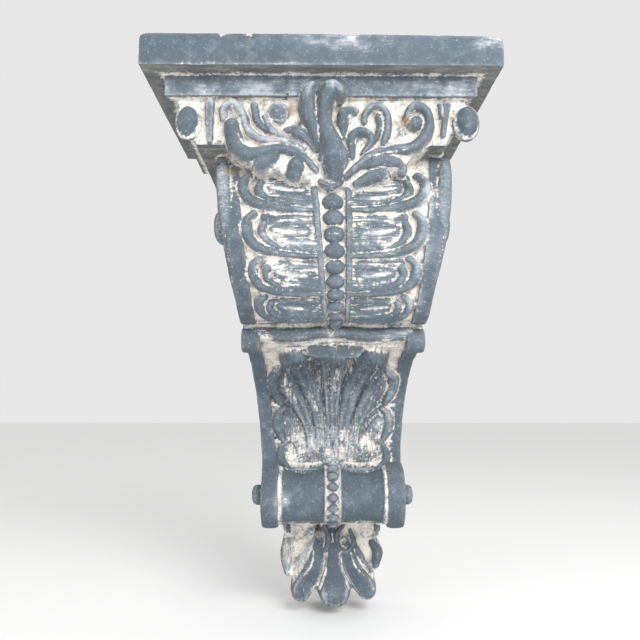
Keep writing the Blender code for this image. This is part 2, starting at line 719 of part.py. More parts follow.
def build_foliage(carver):
    """Leaves that fan out over the frieze from one root, and the tall curled leaf in the middle."""
    leaves = (
        ([(-0.905, 0.98), (-0.905, 0.53), (-0.905, 0.08)], (0.8, 1.4, 0.8), (1.0, 1.1, 0.9)),
        ([(0.97, 1.0), (0.97, 0.55), (0.97, 0.08)], (0.9, 1.5, 0.9), (1.0, 1.2, 0.9)),
        ([(-0.766, 0.98), (-0.765, 0.5), (-0.763, 0.04)], (0.6, 0.5, 0.35), (0.6, 0.6, 0.4)),
        ([(0.842, 0.98), (0.840, 0.5), (0.835, 0.06)], (0.5, 0.45, 0.35), (0.6, 0.6, 0.4)),
        ([(-0.10, -0.50), (-0.35, 0.05), (-0.47, 0.35), (-0.60, 0.85)], (0.5, 0.6, 1.5), (0.6, 0.8, 1.0)),
        ([(-0.03, -0.64), (-0.30, -0.16), (-0.52, -0.15), (-0.64, 0.50)], (0.6, 0.9, 1.1), (0.8, 1.0, 1.5)),
        ([(-0.06, -0.45), (-0.24, -0.02), (-0.36, 0.25), (-0.30, 0.75)], (0.5, 0.6, 1.5), (0.6, 0.7, 1.0)),
        ([(0.02, -0.30), (-0.07, 0.28), (-0.26, 0.36)], (0.8, 1.1, 0.4), (0.8, 1.2, 0.8)),
        ([(0.03, 0.00), (-0.10, 0.60), (-0.13, 1.05), (-0.05, 1.36)], (0.6, 1.1, 1.2), (1.0, 1.7, 1.9)),
        ([(0.14, -0.20), (0.15, 0.40), (0.21, 0.86)], (0.4, 0.5, 1.0), (0.8, 0.8, 1.0)),
        ([(0.18, -0.40), (0.36, 0.00), (0.44, 0.50), (0.35, 0.92)], (0.5, 0.8, 1.0), (0.7, 0.9, 1.1)),
        ([(0.11, -0.56), (0.19, -0.08), (0.28, 0.34)], (0.6, 1.0, 0.9), (1.0, 1.2, 1.0)),
        (
            [(0.12, -0.80), (0.33, -0.36), (0.56, -0.12), (0.74, 0.12), (0.78, 0.55), (0.67, 0.92)]
            + [(0.57, 0.66)],
            (0.6, 0.9, 1.1),
            (1.0, 1.1, 1.3),
        ),
        ([(0.11, -0.70), (0.36, -0.34), (0.53, -0.44)], (0.5, 0.9, 0.9), (0.8, 1.0, 0.9)),
        ([(0.12, -0.84), (0.26, -0.80), (0.40, -0.66)], (0.5, 0.9, 0.9), (0.8, 0.9, 0.9)),
        ([(-0.05, -0.50), (-0.27, -0.16), (-0.46, -0.40)], (0.5, 1.1, 1.0), (0.8, 1.1, 1.0)),
        ([(0.02, -0.62), (-0.13, -0.38), (-0.26, -0.70)], (0.5, 1.1, 1.0), (0.8, 1.1, 1.0)),
        ([(-0.02, -0.86), (0.085, -1.00), (0.17, -0.86)], (0.3, 0.6, 0.3), (0.4, 0.6, 0.4)),
    )
    for path, widths, rises in leaves:
        half = tuple(FOLIAGE_WIDTH * value for value in widths)
        rise = tuple(FOLIAGE_RISE * value for value in rises)
        low = min(share for _, share in path)
        seat = DEEP_SEAT if low < 0 else SEAT + FRIEZE_FRONT_TAPER
        carver.leaf("foliage", on_frieze, path, half, rise, stations=2 + len(path), seat=seat)
    middle = [(0.085, -0.78), (0.085, -0.30), (0.080, 0.25), (0.035, 0.72), (0.035, 1.20), (0.11, 1.47)]
    middle.append((0.19, 1.36))
    half = (FOLIAGE_WIDTH * 1.9, FOLIAGE_WIDTH * 1.15, FOLIAGE_WIDTH * 1.05)
    rise = (FOLIAGE_RISE * 2.0, FOLIAGE_RISE * 2.2, FOLIAGE_RISE * 2.5)
    carver.leaf("curled_leaf", on_frieze, middle, half, rise, stations=9, seat=DEEP_SEAT)


def join(body, carving, collection):
    """The finished casting: the body with every carved piece joined on."""
    casting = bpy.data.objects.new("corbel", body.data)
    collection.objects.link(casting)
    bpy.data.objects.remove(body)
    union = casting.modifiers.new("Join", "BOOLEAN")
    union.operation = "UNION"
    union.solver = "EXACT"
    union.operand_type = "COLLECTION"
    union.collection = carving
    for piece in carving.objects:
        piece.hide_render = True
        piece.display_type = "WIRE"
    return casting


def main():
    clear_scene()
    finished = new_collection("Stone corbel")
    carving = new_collection("Carving")
    carver = Carver(carving)
    body = build_body(carver)
    build_shelf(carver)
    build_rims(carver)
    build_volutes(carver)
    build_rib(carver)
    build_lobes(carver)
    build_waist(carver)
    build_palmette(carver)
    build_roll(carver)
    build_leaf(carver)
    build_foliage(carver)
    casting = join(body, carving, finished)
    casting.data.materials.clear()
    casting.data.materials.append(material("Painted cast stone", (0.28, 0.33, 0.38), 0.82))


main()
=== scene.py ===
"""A painted cast stone corbel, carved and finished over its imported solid.

The casting is laid up like a clay model. Plain blocks, turned rolls and relief panels are set into
each other, fused on a fine grid, worn, and then painted by masks that follow the carving.
Sizes are in metres. The wall is the plane y = 0 and the corbel stands out from it towards -y.
A depth is a distance out from the wall, and a height is a z.
"""

import logging
import math
from collections.abc import Callable, Sequence
from dataclasses import dataclass, replace
from enum import Enum

import bpy
import numpy as np
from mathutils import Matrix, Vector
from mathutils.bvhtree import BVHTree
from mathutils.geometry import tessellate_polygon
from mathutils.kdtree import KDTree


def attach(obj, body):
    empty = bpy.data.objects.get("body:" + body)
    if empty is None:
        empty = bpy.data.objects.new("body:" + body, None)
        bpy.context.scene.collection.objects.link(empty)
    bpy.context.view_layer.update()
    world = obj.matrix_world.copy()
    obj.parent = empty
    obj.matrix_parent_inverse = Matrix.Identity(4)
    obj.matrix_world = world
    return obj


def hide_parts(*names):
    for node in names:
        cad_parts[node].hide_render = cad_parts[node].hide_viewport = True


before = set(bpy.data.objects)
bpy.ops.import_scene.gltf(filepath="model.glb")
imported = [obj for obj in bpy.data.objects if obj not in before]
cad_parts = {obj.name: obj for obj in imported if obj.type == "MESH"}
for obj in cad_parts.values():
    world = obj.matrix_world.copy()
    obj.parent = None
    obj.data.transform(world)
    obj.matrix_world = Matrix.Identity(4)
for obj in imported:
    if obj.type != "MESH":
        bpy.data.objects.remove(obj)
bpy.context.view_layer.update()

LOG = logging.getLogger("corbel")
MM = 0.001
Pair = tuple[float, float]
Place = tuple[float, float, float]
Path = tuple[Pair, ...]
Run = tuple[float, ...]
Array = np.ndarray


def held(values: Array) -> Array:
    """The values, held between 0 and 1."""
    return np.clip(values, 0, 1)


@dataclass(frozen=True)
class Form:
    """The main sizes of the casting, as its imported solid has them."""

    shelf_top: float = 0.300
    shelf_width: float = 0.360
    shelf_depth: float = 0.250
    shelf_height: float = 0.033
    shelf_overhang: float = 0.0215
    fascia_height: float = 0.0215
    fascia_step: float = 0.008
    frieze_height: float = 0.0455
    frieze_side_taper: float = 0.022
    frieze_front_taper: float = 0.008
    scroll_offset: float = 0.0135
    scroll_top_width: float = 0.2387
    scroll_foot_width: float = 0.156
    upper_height: float = 0.179
    lower_height: float = 0.186
    top_depth: float = 0.185
    bulge_depth: float = 0.215
    waist_depth: float = 0.157
    hollow_depth: float = 0.055
    hollow_lip_depth: float = 0.140
    hollow_lift: float = 0.012
    recess: float = 0.004
    rim_width: float = 0.016
    rim_band: float = 0.030
    end_roll_radius: float = 0.0135
    end_roll_gap: float = 0.0025
    roll_depth: float = 0.1055
    roll_radius: float = 0.0345
    leaf_drop: float = 0.135
    leaf_width: float = 0.116
    leaf_depth: float = 0.040

    @property
    def shelf_floor(self) -> float:
        """Height of the shelf block's underside."""
        return self.shelf_top - self.shelf_height

    @property
    def fascia_floor(self) -> float:
        """Height of the fascia's underside."""
        return self.shelf_floor - self.fascia_height

    @property
    def soffit(self) -> float:
        """Height where the frieze ends and the scroll starts."""
        return self.fascia_floor - self.frieze_height

    @property
    def waist(self) -> float:
        """Height where the upper scroll meets the lower one."""
        return self.soffit - self.upper_height

    @property
    def roll_height(self) -> float:
        """Height of the foot roll's axis."""
        return self.waist - self.lower_height

    @property
    def end_roll_height(self) -> float:
        """Height of the axis of the two end rolls at the waist."""
        return self.waist - self.end_roll_gap - self.end_roll_radius

    @property
    def fascia_depth(self) -> float:
        """Depth of the fascia's front."""
        return self.shelf_depth - self.shelf_overhang

    @property
    def fascia_half(self) -> float:
        """Half the fascia's width."""
        return self.shelf_width / 2 - self.shelf_overhang

    @property
    def frieze_depth(self) -> float:
        """Depth of the frieze's front at its top."""
        return self.fascia_depth - self.fascia_step

    @property
    def frieze_half(self) -> float:
        """Half the frieze's width at its top."""
        return self.fascia_half - self.fascia_step

    def scroll_half(self, height: float | Array) -> float | Array:
        """Half the scroll's width at a height, tapering evenly down to the foot roll."""
        share = (height - self.roll_height) / (self.soffit - self.roll_height)
        return (self.scroll_foot_width + (self.scroll_top_width - self.scroll_foot_width) * share) / 2

    def upper_profile(self, steps: int = 96) -> Array:
        """Front line of the upper scroll, from the soffit to the waist.

        Args:
            steps: How many spans the line has.

        Returns:
            Rows of depth and height.
        """
        angle = np.pi * (np.arange(steps + 1) / steps - 0.5)
        above = self.top_depth + (self.bulge_depth - self.top_depth) * np.cos(np.pi / 2 * np.sin(angle))
        below = self.waist_depth + (self.bulge_depth - self.waist_depth) * np.cos(angle)
        depth = np.where(angle < 0, above, below)
        height = (self.soffit + self.waist) / 2 - self.upper_height / 2 * np.sin(angle)
        return np.stack([depth, height], -1)

    def hollow_profile(self, steps: int = 48) -> Array:
        """Front line of the lower scroll, from the end rolls to the foot roll's top.

        Args:
            steps: How many spans each quarter of the hollow has.

        Returns:
            Rows of depth and height.
        """
        top = self.end_roll_height - self.end_roll_radius * 0.8
        roll_top = self.roll_height + self.roll_radius
        middle = (top + roll_top) / 2 - self.hollow_lift
        lip = self.roll_depth - self.roll_radius * 0.45
        turn = np.pi / 2 * np.arange(steps + 1) / steps
        reach = self.hollow_lip_depth - self.hollow_depth
        depth = self.hollow_lip_depth - reach * np.sin(turn)
        upper = np.stack([depth, middle + (top - middle) * np.cos(turn)], -1)
        drop = middle - roll_top + self.roll_radius * 0.2
        lower = np.stack([lip - (lip - self.hollow_depth) * np.cos(turn), middle - drop * np.sin(turn)], -1)
        return np.concatenate([upper, lower[1:]])


FORM = Form()


class Section(Enum):
    """How a carved stroke is rounded across its width."""

    ROUND = "round"
    FLAT = "flat"
    SHARP = "sharp"
    VEINED = "veined"
    FLUTED = "fluted"

    def rise(self, off: Array) -> Array:
        """Share of the full rise at a place across the stroke.

        Args:
            off: Distance from the stroke's middle line, as a share of its half width.

        Returns:
            Shares from 0 at the edge to about 1.
        """
        square = held(1 - off**2)
        if self is Section.FLAT:
            return np.sqrt(held(1 - off**6))
        if self is Section.SHARP:
            return held(1 - off) ** 0.8
        if self is Section.VEINED:
            return np.sqrt(square) * (1 - 0.2 * np.exp(-((off / 0.24) ** 2)))
        if self is Section.FLUTED:
            return np.sqrt(held(1 - off**4)) * (0.88 + 0.12 * np.cos(3 * np.pi * off))
        return np.sqrt(square)


class Tool(Enum):
    """What a stroke does to the panel under it."""

    RAISE = "raise"
    SWELL = "swell"
    CUT = "cut"


@dataclass(frozen=True)
class Stroke:
    """One carved stroke along a curve; its sizes are millimetres at even steps along it.

    The paint is 1 for slate and 0 for cream. The line is how clearly a pale line follows its foot.
    """

    path: Path
    halves: Run
    rises: Run
    section: Section = Section.ROUND
    tool: Tool = Tool.RAISE
    paint: float = 1.0
    line: float = 0.0

    def turned(self, side: int, stretch: float = 1.0, shift: float = 0.0) -> "Stroke":
        """The same stroke on the given side, with its places across stretched and shifted."""
        path = tuple((side * (across * stretch + shift), along) for across, along in self.path)
        return replace(self, path=path)


def cut(path: Path, halves: Run, depths: Run, paint: float) -> Stroke:
    """A round groove along a curve; its depths are millimetres at even steps along it."""
    return Stroke(path, halves, depths, tool=Tool.CUT, paint=paint)


class Noise:
    """Smooth lattice noise that gives the same values each run."""

    def __init__(self, seed: int) -> None:
        """Fills the lattice from the seed."""
        self.lattice = np.random.default_rng(seed).random((32, 32, 32)) * 2 - 1

    def at(self, points: Array, size: float | Sequence[float]) -> Array:
        """Noise from -1 to 1.

        Args:
            points: Rows of places.
            size: The size of its features, for all axes or for each.

        Returns:
            One value for each point.
        """
        place = points / np.asarray(size) + 1000.0
        cell = np.floor(place).astype(int)
        part = place - cell
        part = part * part * (3 - 2 * part)
        total = np.zeros(len(points))
        for corner in range(8):
            step = np.array([corner & 1, corner >> 1 & 1, corner >> 2 & 1])
            index = (cell + step) % 32
            weight = np.where(step, part, 1 - part).prod(1)
            total += weight * self.lattice[index[:, 0], index[:, 1], index[:, 2]]
        return total


STREAKS = Noise(9)


def smooth_path(path: Sequence[Pair], steps: int = 9) -> Array:
    """A smooth curve through the given pairs.

    Args:
        path: The pairs to pass through.
        steps: How many points each span gets.

    Returns:
        The curve's points as rows.
    """
    points = np.array([path[0], *path, path[-1]], float)
    made = []
    for index in range(1, len(points) - 2):
        before, first, second, after = points[index - 1 : index + 3]
        part = (np.arange(steps) / steps)[:, None]
        curve = 2 * first + (second - before) * part
        curve = curve + (2 * before - 5 * first + 4 * second - after) * part**2
        curve = curve + (3 * first - before - 3 * second + after) * part**3
        made.append(0.5 * curve)
    return np.concatenate([*made, points[-1:]])


def nearest(points: Array, line: Array) -> tuple[Array, Array]:
    """How far each point is from a line, and where along it the nearest place is.

    Args:
        points: Rows of plan places.
        line: Rows of the line's points.

    Returns:
        The distances, and the shares of the line's length.
    """
    start, span = line[:-1], np.diff(line, axis=0)
    square = (span**2).sum(1) + 1e-18
    part = held(((points[:, None] - start) * span).sum(2) / square)
    gap = points[:, None] - (start + part[..., None] * span)
    far = (gap**2).sum(2)
    best = far.argmin(1)
    rows = np.arange(len(points))
    run = np.concatenate([[0], np.cumsum(np.sqrt(square))])
    share = (run[best] + part[rows, best] * np.sqrt(square)[best]) / run[-1]
    return np.sqrt(far[rows, best]), share


def within(points: Array, outline: Array) -> Array:
    """Which points lie inside a closed outline, by counting crossings.

    Args:
        points: Rows of plan places.
        outline: The outline's corners as rows.

    Returns:
        True for each point inside.
    """
    inside = np.zeros(len(points), bool)
    for first, second in zip(outline, np.roll(outline, -1, axis=0)):
        crosses = (first[1] > points[:, 1]) != (second[1] > points[:, 1])
        slope = (second[0] - first[0]) / (second[1] - first[1] + 1e-18)
        inside ^= crosses & (points[:, 0] < first[0] + slope * (points[:, 1] - first[1]))
    return inside


class Ground:
    """A face that carries carving, with places on it given as shares across and along."""

    def plan(self, shares: Array) -> Array:
        """The shares as distances over the face, in metres."""
        raise NotImplementedError

    def place(self, shares: Array, lift: Array | float) -> Array:
        """The points that lie at these shares, lifted off the face."""
        raise NotImplementedError


class ScrollGround(Ground):
    """The sunk field of a scroll, which follows a side profile and narrows downward."""

    def __init__(self, profile: Array) -> None:
        """Walks the profile.

        Args:
            profile: Rows of depth and height.
        """
        self.profile = profile
        steps = np.linalg.norm(np.diff(profile, axis=0), axis=1)
        self.run = np.concatenate([[0], np.cumsum(steps)])
        self.length = float(self.run[-1])
        along = np.gradient(profile, self.run, axis=0)
        along /= np.linalg.norm(along, axis=1)[:, None]
        self.outward = np.stack([-along[:, 1], along[:, 0]], -1)

    def at(self, share: Array) -> tuple[Array, Array]:
        """The profile at shares of its length.

        Args:
            share: The shares.

        Returns:
            The points, and the outward directions there.
        """
        run = held(share) * self.length
        point = np.stack([np.interp(run, self.run, self.profile[:, axis]) for axis in (0, 1)], -1)
        outward = np.stack([np.interp(run, self.run, self.outward[:, axis]) for axis in (0, 1)], -1)
        return point, outward / np.linalg.norm(outward, axis=-1, keepdims=True)

    def half(self, share: Array) -> Array:
        """Half the field's width at shares of the profile's length."""
        return FORM.scroll_half(self.at(share)[0][..., 1]) - FORM.rim_width

    def plan(self, shares: Array) -> Array:
        """The shares as distances over the field, in metres."""
        across, along = shares[..., 0], shares[..., 1]
        return np.stack([across * self.half(along), along * self.length], -1)

    def place(self, shares: Array, lift: Array | float) -> Array:
        """The points that lie at these shares, lifted off the sunk field.

        Args:
            shares: Shares across and along.
            lift: How far off the field they are.

        Returns:
            The points.
        """
        point, outward = self.at(shares[..., 1])
        spot = point + outward * (np.asarray(lift) - FORM.recess)[..., None]
        across = FORM.scroll_offset + shares[..., 0] * self.half(shares[..., 1])
        return np.stack([across, -spot[..., 0], spot[..., 1]], -1)


class FriezeGround(Ground):
    """The front of the frieze, run on below it in front of the scroll."""

    def depth(self, height: Array) -> Array:
        """Depth of the front.

        Args:
            height: The heights.

        Returns:
            The depth at each height.
        """
        share = (height - FORM.soffit) / FORM.frieze_height
        lean = np.where(share > 0, share, share * 0.35)
        return FORM.frieze_depth - FORM.frieze_front_taper * (1 - np.minimum(lean, 1))

    def plan(self, shares: Array) -> Array:
        """The shares as distances over the frieze, in metres."""
        return shares * np.array([FORM.frieze_half, FORM.frieze_height])

    def place(self, shares: Array, lift: Array | float) -> Array:
        """The points that lie at these shares, lifted off the front."""
        height = FORM.soffit + shares[..., 1] * FORM.frieze_height
        return np.stack([shares[..., 0] * FORM.frieze_half, -(self.depth(height) + lift), height], -1)


class LeafGround(Ground):
    """The front of the hanging leaf, upright and facing out from the wall."""

    def plan(self, shares: Array) -> Array:
        """The shares as distances over the leaf, in metres."""
        return shares * np.array([FORM.leaf_width / 2, FORM.leaf_drop])

    def place(self, shares: Array, lift: Array | float) -> Array:
        """The points that lie at these shares, lifted off the leaf's ground.

        Args:
            shares: Shares across and along.
            lift: How far off the ground they are.

        Returns:
            The points.
        """
        across = FORM.scroll_offset + shares[..., 0] * FORM.leaf_width / 2
        height = FORM.roll_height - shares[..., 1] * FORM.leaf_drop
        depth = FORM.leaf_depth * (1 - 0.2 * held(shares[..., 1])) + lift
        return np.stack([across, -depth, height], -1)


class BandGround(Ground):
    """An upright face across the waist, in metres from the scroll's middle and the waist."""

    def __init__(self, depth: float) -> None:
        """Stands at the given depth."""
        self.depth = depth

    def plan(self, shares: Array) -> Array:
        """The places as they are, for they are metres already."""
        return shares

    def place(self, shares: Array, lift: Array | float) -> Array:
        """The points that lie at these places, lifted off the face."""
        depth = np.broadcast_to(self.depth + np.asarray(lift), shares.shape[:-1])
        return np.stack([FORM.scroll_offset + shares[..., 0], -depth, FORM.waist + shares[..., 1]], -1)


class Clay:
    """The rough model: closed shapes that overlap, each point with its paint."""

    def __init__(self) -> None:
        """Starts with nothing laid."""
        self.points: list[Array] = []
        self.faces: list[Array] = []
        self.paints: list[Array] = []
        self.count = 0

    def add(self, points: Array, faces: Array, paint: Array | float) -> None:
        """Lays one closed shape.

        Args:
            points: Its points as rows.
            faces: Its triangles as rows of point numbers.
            paint: Its paint, for each point or for all.
        """
        self.points.append(points)
        self.faces.append(faces + self.count)
        self.paints.append(np.broadcast_to(np.asarray(paint, float), (len(points),)))
        self.count += len(points)

    def slab(self, front: Array, rear: Array, solid: Array, paint: Array) -> None:
        """Lays a panel with a carved front and a plain back, only where it is solid.

        Args:
            front: Grid of the front's points.
            rear: Grid of the back's points.
            solid: Which of the grid's points are solid.
            paint: Grid of the front's paint.
        """
        rows, columns = solid.shape
        number = np.arange(rows * columns).reshape(rows, columns)
        cell = solid[:-1, :-1] | solid[1:, :-1] | solid[:-1, 1:] | solid[1:, 1:]
        a, b = number[:-1, :-1][cell], number[1:, :-1][cell]
        c, d = number[1:, 1:][cell], number[:-1, 1:][cell]
        back = rows * columns
        faces = [np.stack(three, -1) for three in ((a, b, c), (a, c, d), (a, c, b), (a, d, c))]
        faces[2] = faces[2] + back
        faces[3] = faces[3] + back
        ringed = np.pad(cell, 1)
        for first, second, empty in (
            (number[:-1, :-1], number[1:, :-1], ~ringed[1:-1, :-2]),
            (number[1:, 1:], number[:-1, 1:], ~ringed[1:-1, 2:]),
            (number[:-1, 1:], number[:-1, :-1], ~ringed[:-2, 1:-1]),
            (number[1:, :-1], number[1:, 1:], ~ringed[2:, 1:-1]),
        ):
            edge = cell & empty
            one, two = first[edge], second[edge]
            faces.append(np.stack([two, one, one + back], -1))
            faces.append(np.stack([two, one + back, two + back], -1))
        points = np.concatenate([front.reshape(-1, 3), rear.reshape(-1, 3)])
        used, faces = np.unique(np.concatenate(faces), return_inverse=True)
        self.add(points[used], faces.reshape(-1, 3), np.tile(paint.ravel(), 2)[used])

    def rings(self, rings: Array, paint: Array | float) -> None:
        """Lays a closed tube through rings of points.

        Args:
            rings: The rings' points, ring by ring.
            paint: Its paint.
        """
        count, sides = rings.shape[:2]
        number = np.arange(count * sides).reshape(count, sides)
        a, b = number[:-1], np.roll(number[:-1], -1, axis=1)
        c, d = np.roll(number[1:], -1, axis=1), number[1:]
        faces = [np.stack([a, b, c], -1).reshape(-1, 3), np.stack([a, c, d], -1).reshape(-1, 3)]
        middles = np.stack([rings[0].mean(0), rings[-1].mean(0)])
        for ring, middle, turn in ((number[0], count * sides, 1), (number[-1], count * sides + 1, -1)):
            following = np.roll(ring, -turn)
            faces.append(np.stack([following, ring, np.full(sides, middle)], -1))
        self.add(np.concatenate([rings.reshape(-1, 3), middles]), np.concatenate(faces), paint)

    def turned(self, profile: Sequence[Pair], middle: Sequence[float], paint: float, sides: int = 96) -> None:
        """Lays a shape turned about an axis that runs across the corbel.

        Args:
            profile: Pairs of distance along the axis and radius.
            middle: The point on the axis that the distances start from.
            paint: Its paint.
            sides: How many points each ring has.
        """
        angle = 2 * np.pi * np.arange(sides) / sides
        across, radius = np.array(profile, float).T[:, :, None]
        radius = np.maximum(radius, 0.05 * MM)
        places = (middle[0] + across, middle[1] - radius * np.cos(angle), middle[2] + radius * np.sin(angle))
        self.rings(np.stack(np.broadcast_arrays(*places), -1), paint)

    def ball(self, middle: Array, outward: Array, size: Sequence[float], paint: float) -> None:
        """Lays a flattened ball.

        Args:
            middle: Its middle.
            outward: The direction that it rises in.
            size: Its width, its height and its rise, the last from the middle out.
            paint: Its paint.
        """
        outward = outward / np.linalg.norm(outward)
        side = np.array([1.0, 0.0, 0.0]) - outward * outward[0]
        side /= np.linalg.norm(side)
        up = np.cross(outward, side)
        rows = []
        for tilt in np.linspace(-np.pi / 2 + 0.05, np.pi / 2 - 0.05, 15):
            angle = 2 * np.pi * np.arange(28) / 28
            ring = (
                np.outer(np.cos(angle) * np.cos(tilt) * size[0] / 2, side)
                + np.outer(np.sin(angle) * np.cos(tilt) * size[1] / 2, up)
                + outward * size[2] * math.sin(tilt)
            )
            rows.append(middle + ring)
        self.rings(np.array(rows), paint)

    def prism(
        self,
        outline: Array,
        left: Callable[[Array], Array],
        right: Callable[[Array], Array],
        paint: float,
    ) -> None:
        """Lays a side outline drawn out between two side functions of height.

        Args:
            outline: Rows of depth and height.
            left: Place across of the left face at a height.
            right: Place across of the right face at a height.
            paint: Its paint.
        """
        depth, height = outline[:, 0], outline[:, 1]
        ends = [np.stack([side(height), -depth, height], -1) for side in (left, right)]
        count = len(outline)
        cap = np.array(tessellate_polygon([[Vector((*pair, 0)) for pair in outline]]))
        one = np.arange(count)
        two = np.roll(one, -1)
        faces = [cap, cap[:, ::-1] + count]
        faces.append(np.stack([one, two, two + count], -1))
        faces.append(np.stack([one, two + count, one + count], -1))
        self.add(np.concatenate(ends), np.concatenate(faces), paint)

    def block(self, half: Pair, front: Pair, floor: float, top: float, paint: float) -> None:
        """Lays a block against the wall.

        Args:
            half: Half its width below and above.
            front: Its depth below and above.
            floor: Height of its underside.
            top: Height of its top.
            paint: Its paint.
        """
        rows = []
        for height, wide, deep in ((floor, half[0], front[0]), (top, half[1], front[1])):
            corners = ((-wide, 0), (-wide, -deep), (wide, -deep), (wide, 0))
            rows.append([(*corner, height) for corner in corners])
        self.rings(np.array(rows, float), paint)


class Relief:
    """A panel of carving, worked as heights over a ground.

    A stroke's paint fades in over an edge share of its half width. Where strokes meet, they blend.
    The pale line at a stroke's foot has a place and a width that are shares of its half width.
    """

    edge_share = 0.12
    blend = 0.9 * MM
    streak_width = 2.2 * MM
    streak_length = 18 * MM
    line_place = 0.84
    line_width = 0.15

    def __init__(
        self, ground: Ground, across: Pair, along: Pair, steps: tuple[int, int], paint: float
    ) -> None:
        """Lays out a flat panel.

        Args:
            ground: The face that carries it.
            across: The shares across that it covers.
            along: The shares along that it covers.
            steps: How many points it has across and along.
            paint: The paint of its ground.
        """
        self.ground = ground
        grid = np.meshgrid(np.linspace(*across, steps[0]), np.linspace(*along, steps[1]), indexing="ij")
        self.shares = np.stack(grid, -1)
        self.shape = steps
        self.plan = ground.plan(self.shares).reshape(-1, 2)
        self.height = np.zeros(len(self.plan))
        self.paint = np.full(len(self.plan), float(paint))
        self.worked = np.zeros(len(self.plan), bool)

    def draw(self, stroke: Stroke) -> None:
        """Carves one stroke into the panel.

        Args:
            stroke: The stroke to carve.
        """
        line = self.ground.plan(smooth_path(stroke.path))
        widest = max(stroke.halves) * MM
        low, high = line.min(0) - widest, line.max(0) + widest
        near = np.flatnonzero(((self.plan >= low) & (self.plan <= high)).all(1))
        if not len(near):
            return
        far, share = nearest(self.plan[near], line)
        run = np.linalg.norm(np.diff(line, axis=0), axis=1).sum()
        half = np.interp(share, np.linspace(0, 1, len(stroke.halves)), stroke.halves) * MM
        rise = np.interp(share, np.linspace(0, 1, len(stroke.rises)), stroke.rises) * MM
        off = far / half
        inside = off < 1
        near, off, rise = near[inside], off[inside], rise[inside]
        beside, beyond = far[inside] / self.streak_width, share[inside] * run / self.streak_length
        streak = STREAKS.at(np.stack([beside, beyond, off * 0], -1), 1.0)
        lift = rise * stroke.section.rise(off)
        before = self.height[near]
        edge = held((1 - off) / self.edge_share)
        if stroke.tool is Tool.RAISE:
            soft = self.blend * edge
            blend = np.clip(soft - np.abs(lift - before), 0, None) ** 2 / (4 * soft + 1e-9)
            self.height[near] = np.maximum(lift, before) + blend
            wins = (lift > before) * edge
            wins = wins * (1 - 0.45 * held(streak))
            self.worked[near] = True
            foot = (lift > before) * np.exp(-(((off - self.line_place) / self.line_width) ** 2))
            wins = wins * (1 - stroke.line * foot * (0.75 + 0.5 * streak))
        elif stroke.tool is Tool.SWELL:
            self.height[near] = before + lift
            wins = 0.5 * edge
        else:
            depth = rise * held(1 - off**2) ** 1.2
            self.height[near] = before - depth
            wins = held(depth / (rise + 1e-9) * 1.3)
        self.paint[near] += (stroke.paint - self.paint[near]) * wins

    def panel(self, outline: Sequence[Pair], rises: Pair, shoulder: float, paint: float) -> None:
        """Raises a broad panel inside an outline.

        Args:
            outline: The corners of its outline, as shares.
            rises: Its rise in millimetres where it starts and ends along the ground.
            shoulder: How wide its rounded shoulder is, in millimetres.
            paint: Its paint.
        """
        edge = self.ground.plan(smooth_path([*outline, outline[0]], 6))
        near = np.flatnonzero(within(self.plan, edge))
        if not len(near):
            return
        far, _ = nearest(self.plan[near], edge)
        along = self.shares.reshape(-1, 2)[near, 1]
        low, high = along.min(), along.max()
        rise = (rises[0] + (rises[1] - rises[0]) * (along - low) / (high - low)) * MM
        lift = rise * np.sqrt(held(1 - (1 - held(far / (shoulder * MM))) ** 2))
        wins = lift > self.height[near]
        self.height[near] = np.maximum(self.height[near], lift)
        self.paint[near] = np.where(wins, paint, self.paint[near])
        self.worked[near] = True

    def lay(self, clay: Clay, back: Array | float, everywhere: bool = True) -> None:
        """Lays the panel into the clay.

        Args:
            clay: The clay to lay it into.
            back: How far behind the ground its back is.
            everywhere: Whether its plain ground is solid too.
        """
        height = self.height.reshape(self.shape)
        solid = np.ones(self.shape, bool) if everywhere else self.worked.reshape(self.shape)
        front = self.ground.place(self.shares, height)
        rear = self.ground.place(self.shares, -np.asarray(back) + np.zeros(self.shape))
        clay.slab(front, rear, solid, self.paint.reshape(self.shape))


@dataclass
class Shelf:
    """The shelf block, the fascia under it and the tapering frieze ground."""

    paint: float = 1.0
    frieze_paint: float = 0.12
    lap: float = 4 * MM

    def model(self, clay: Clay) -> None:
        """Lays the three blocks, each lapping into the one above.

        Args:
            clay: The clay to lay them into.
        """
        half = FORM.shelf_width / 2
        clay.block((half, half), (FORM.shelf_depth,) * 2, FORM.shelf_floor, FORM.shelf_top, self.paint)
        top = FORM.shelf_floor + self.lap
        clay.block((FORM.fascia_half,) * 2, (FORM.fascia_depth,) * 2, FORM.fascia_floor, top, self.paint)
        clay.block(
            (FORM.frieze_half - FORM.frieze_side_taper, FORM.frieze_half),
            (FORM.frieze_depth - FORM.frieze_front_taper, FORM.frieze_depth),
            FORM.soffit,
            FORM.fascia_floor + self.lap,
            self.frieze_paint,
        )


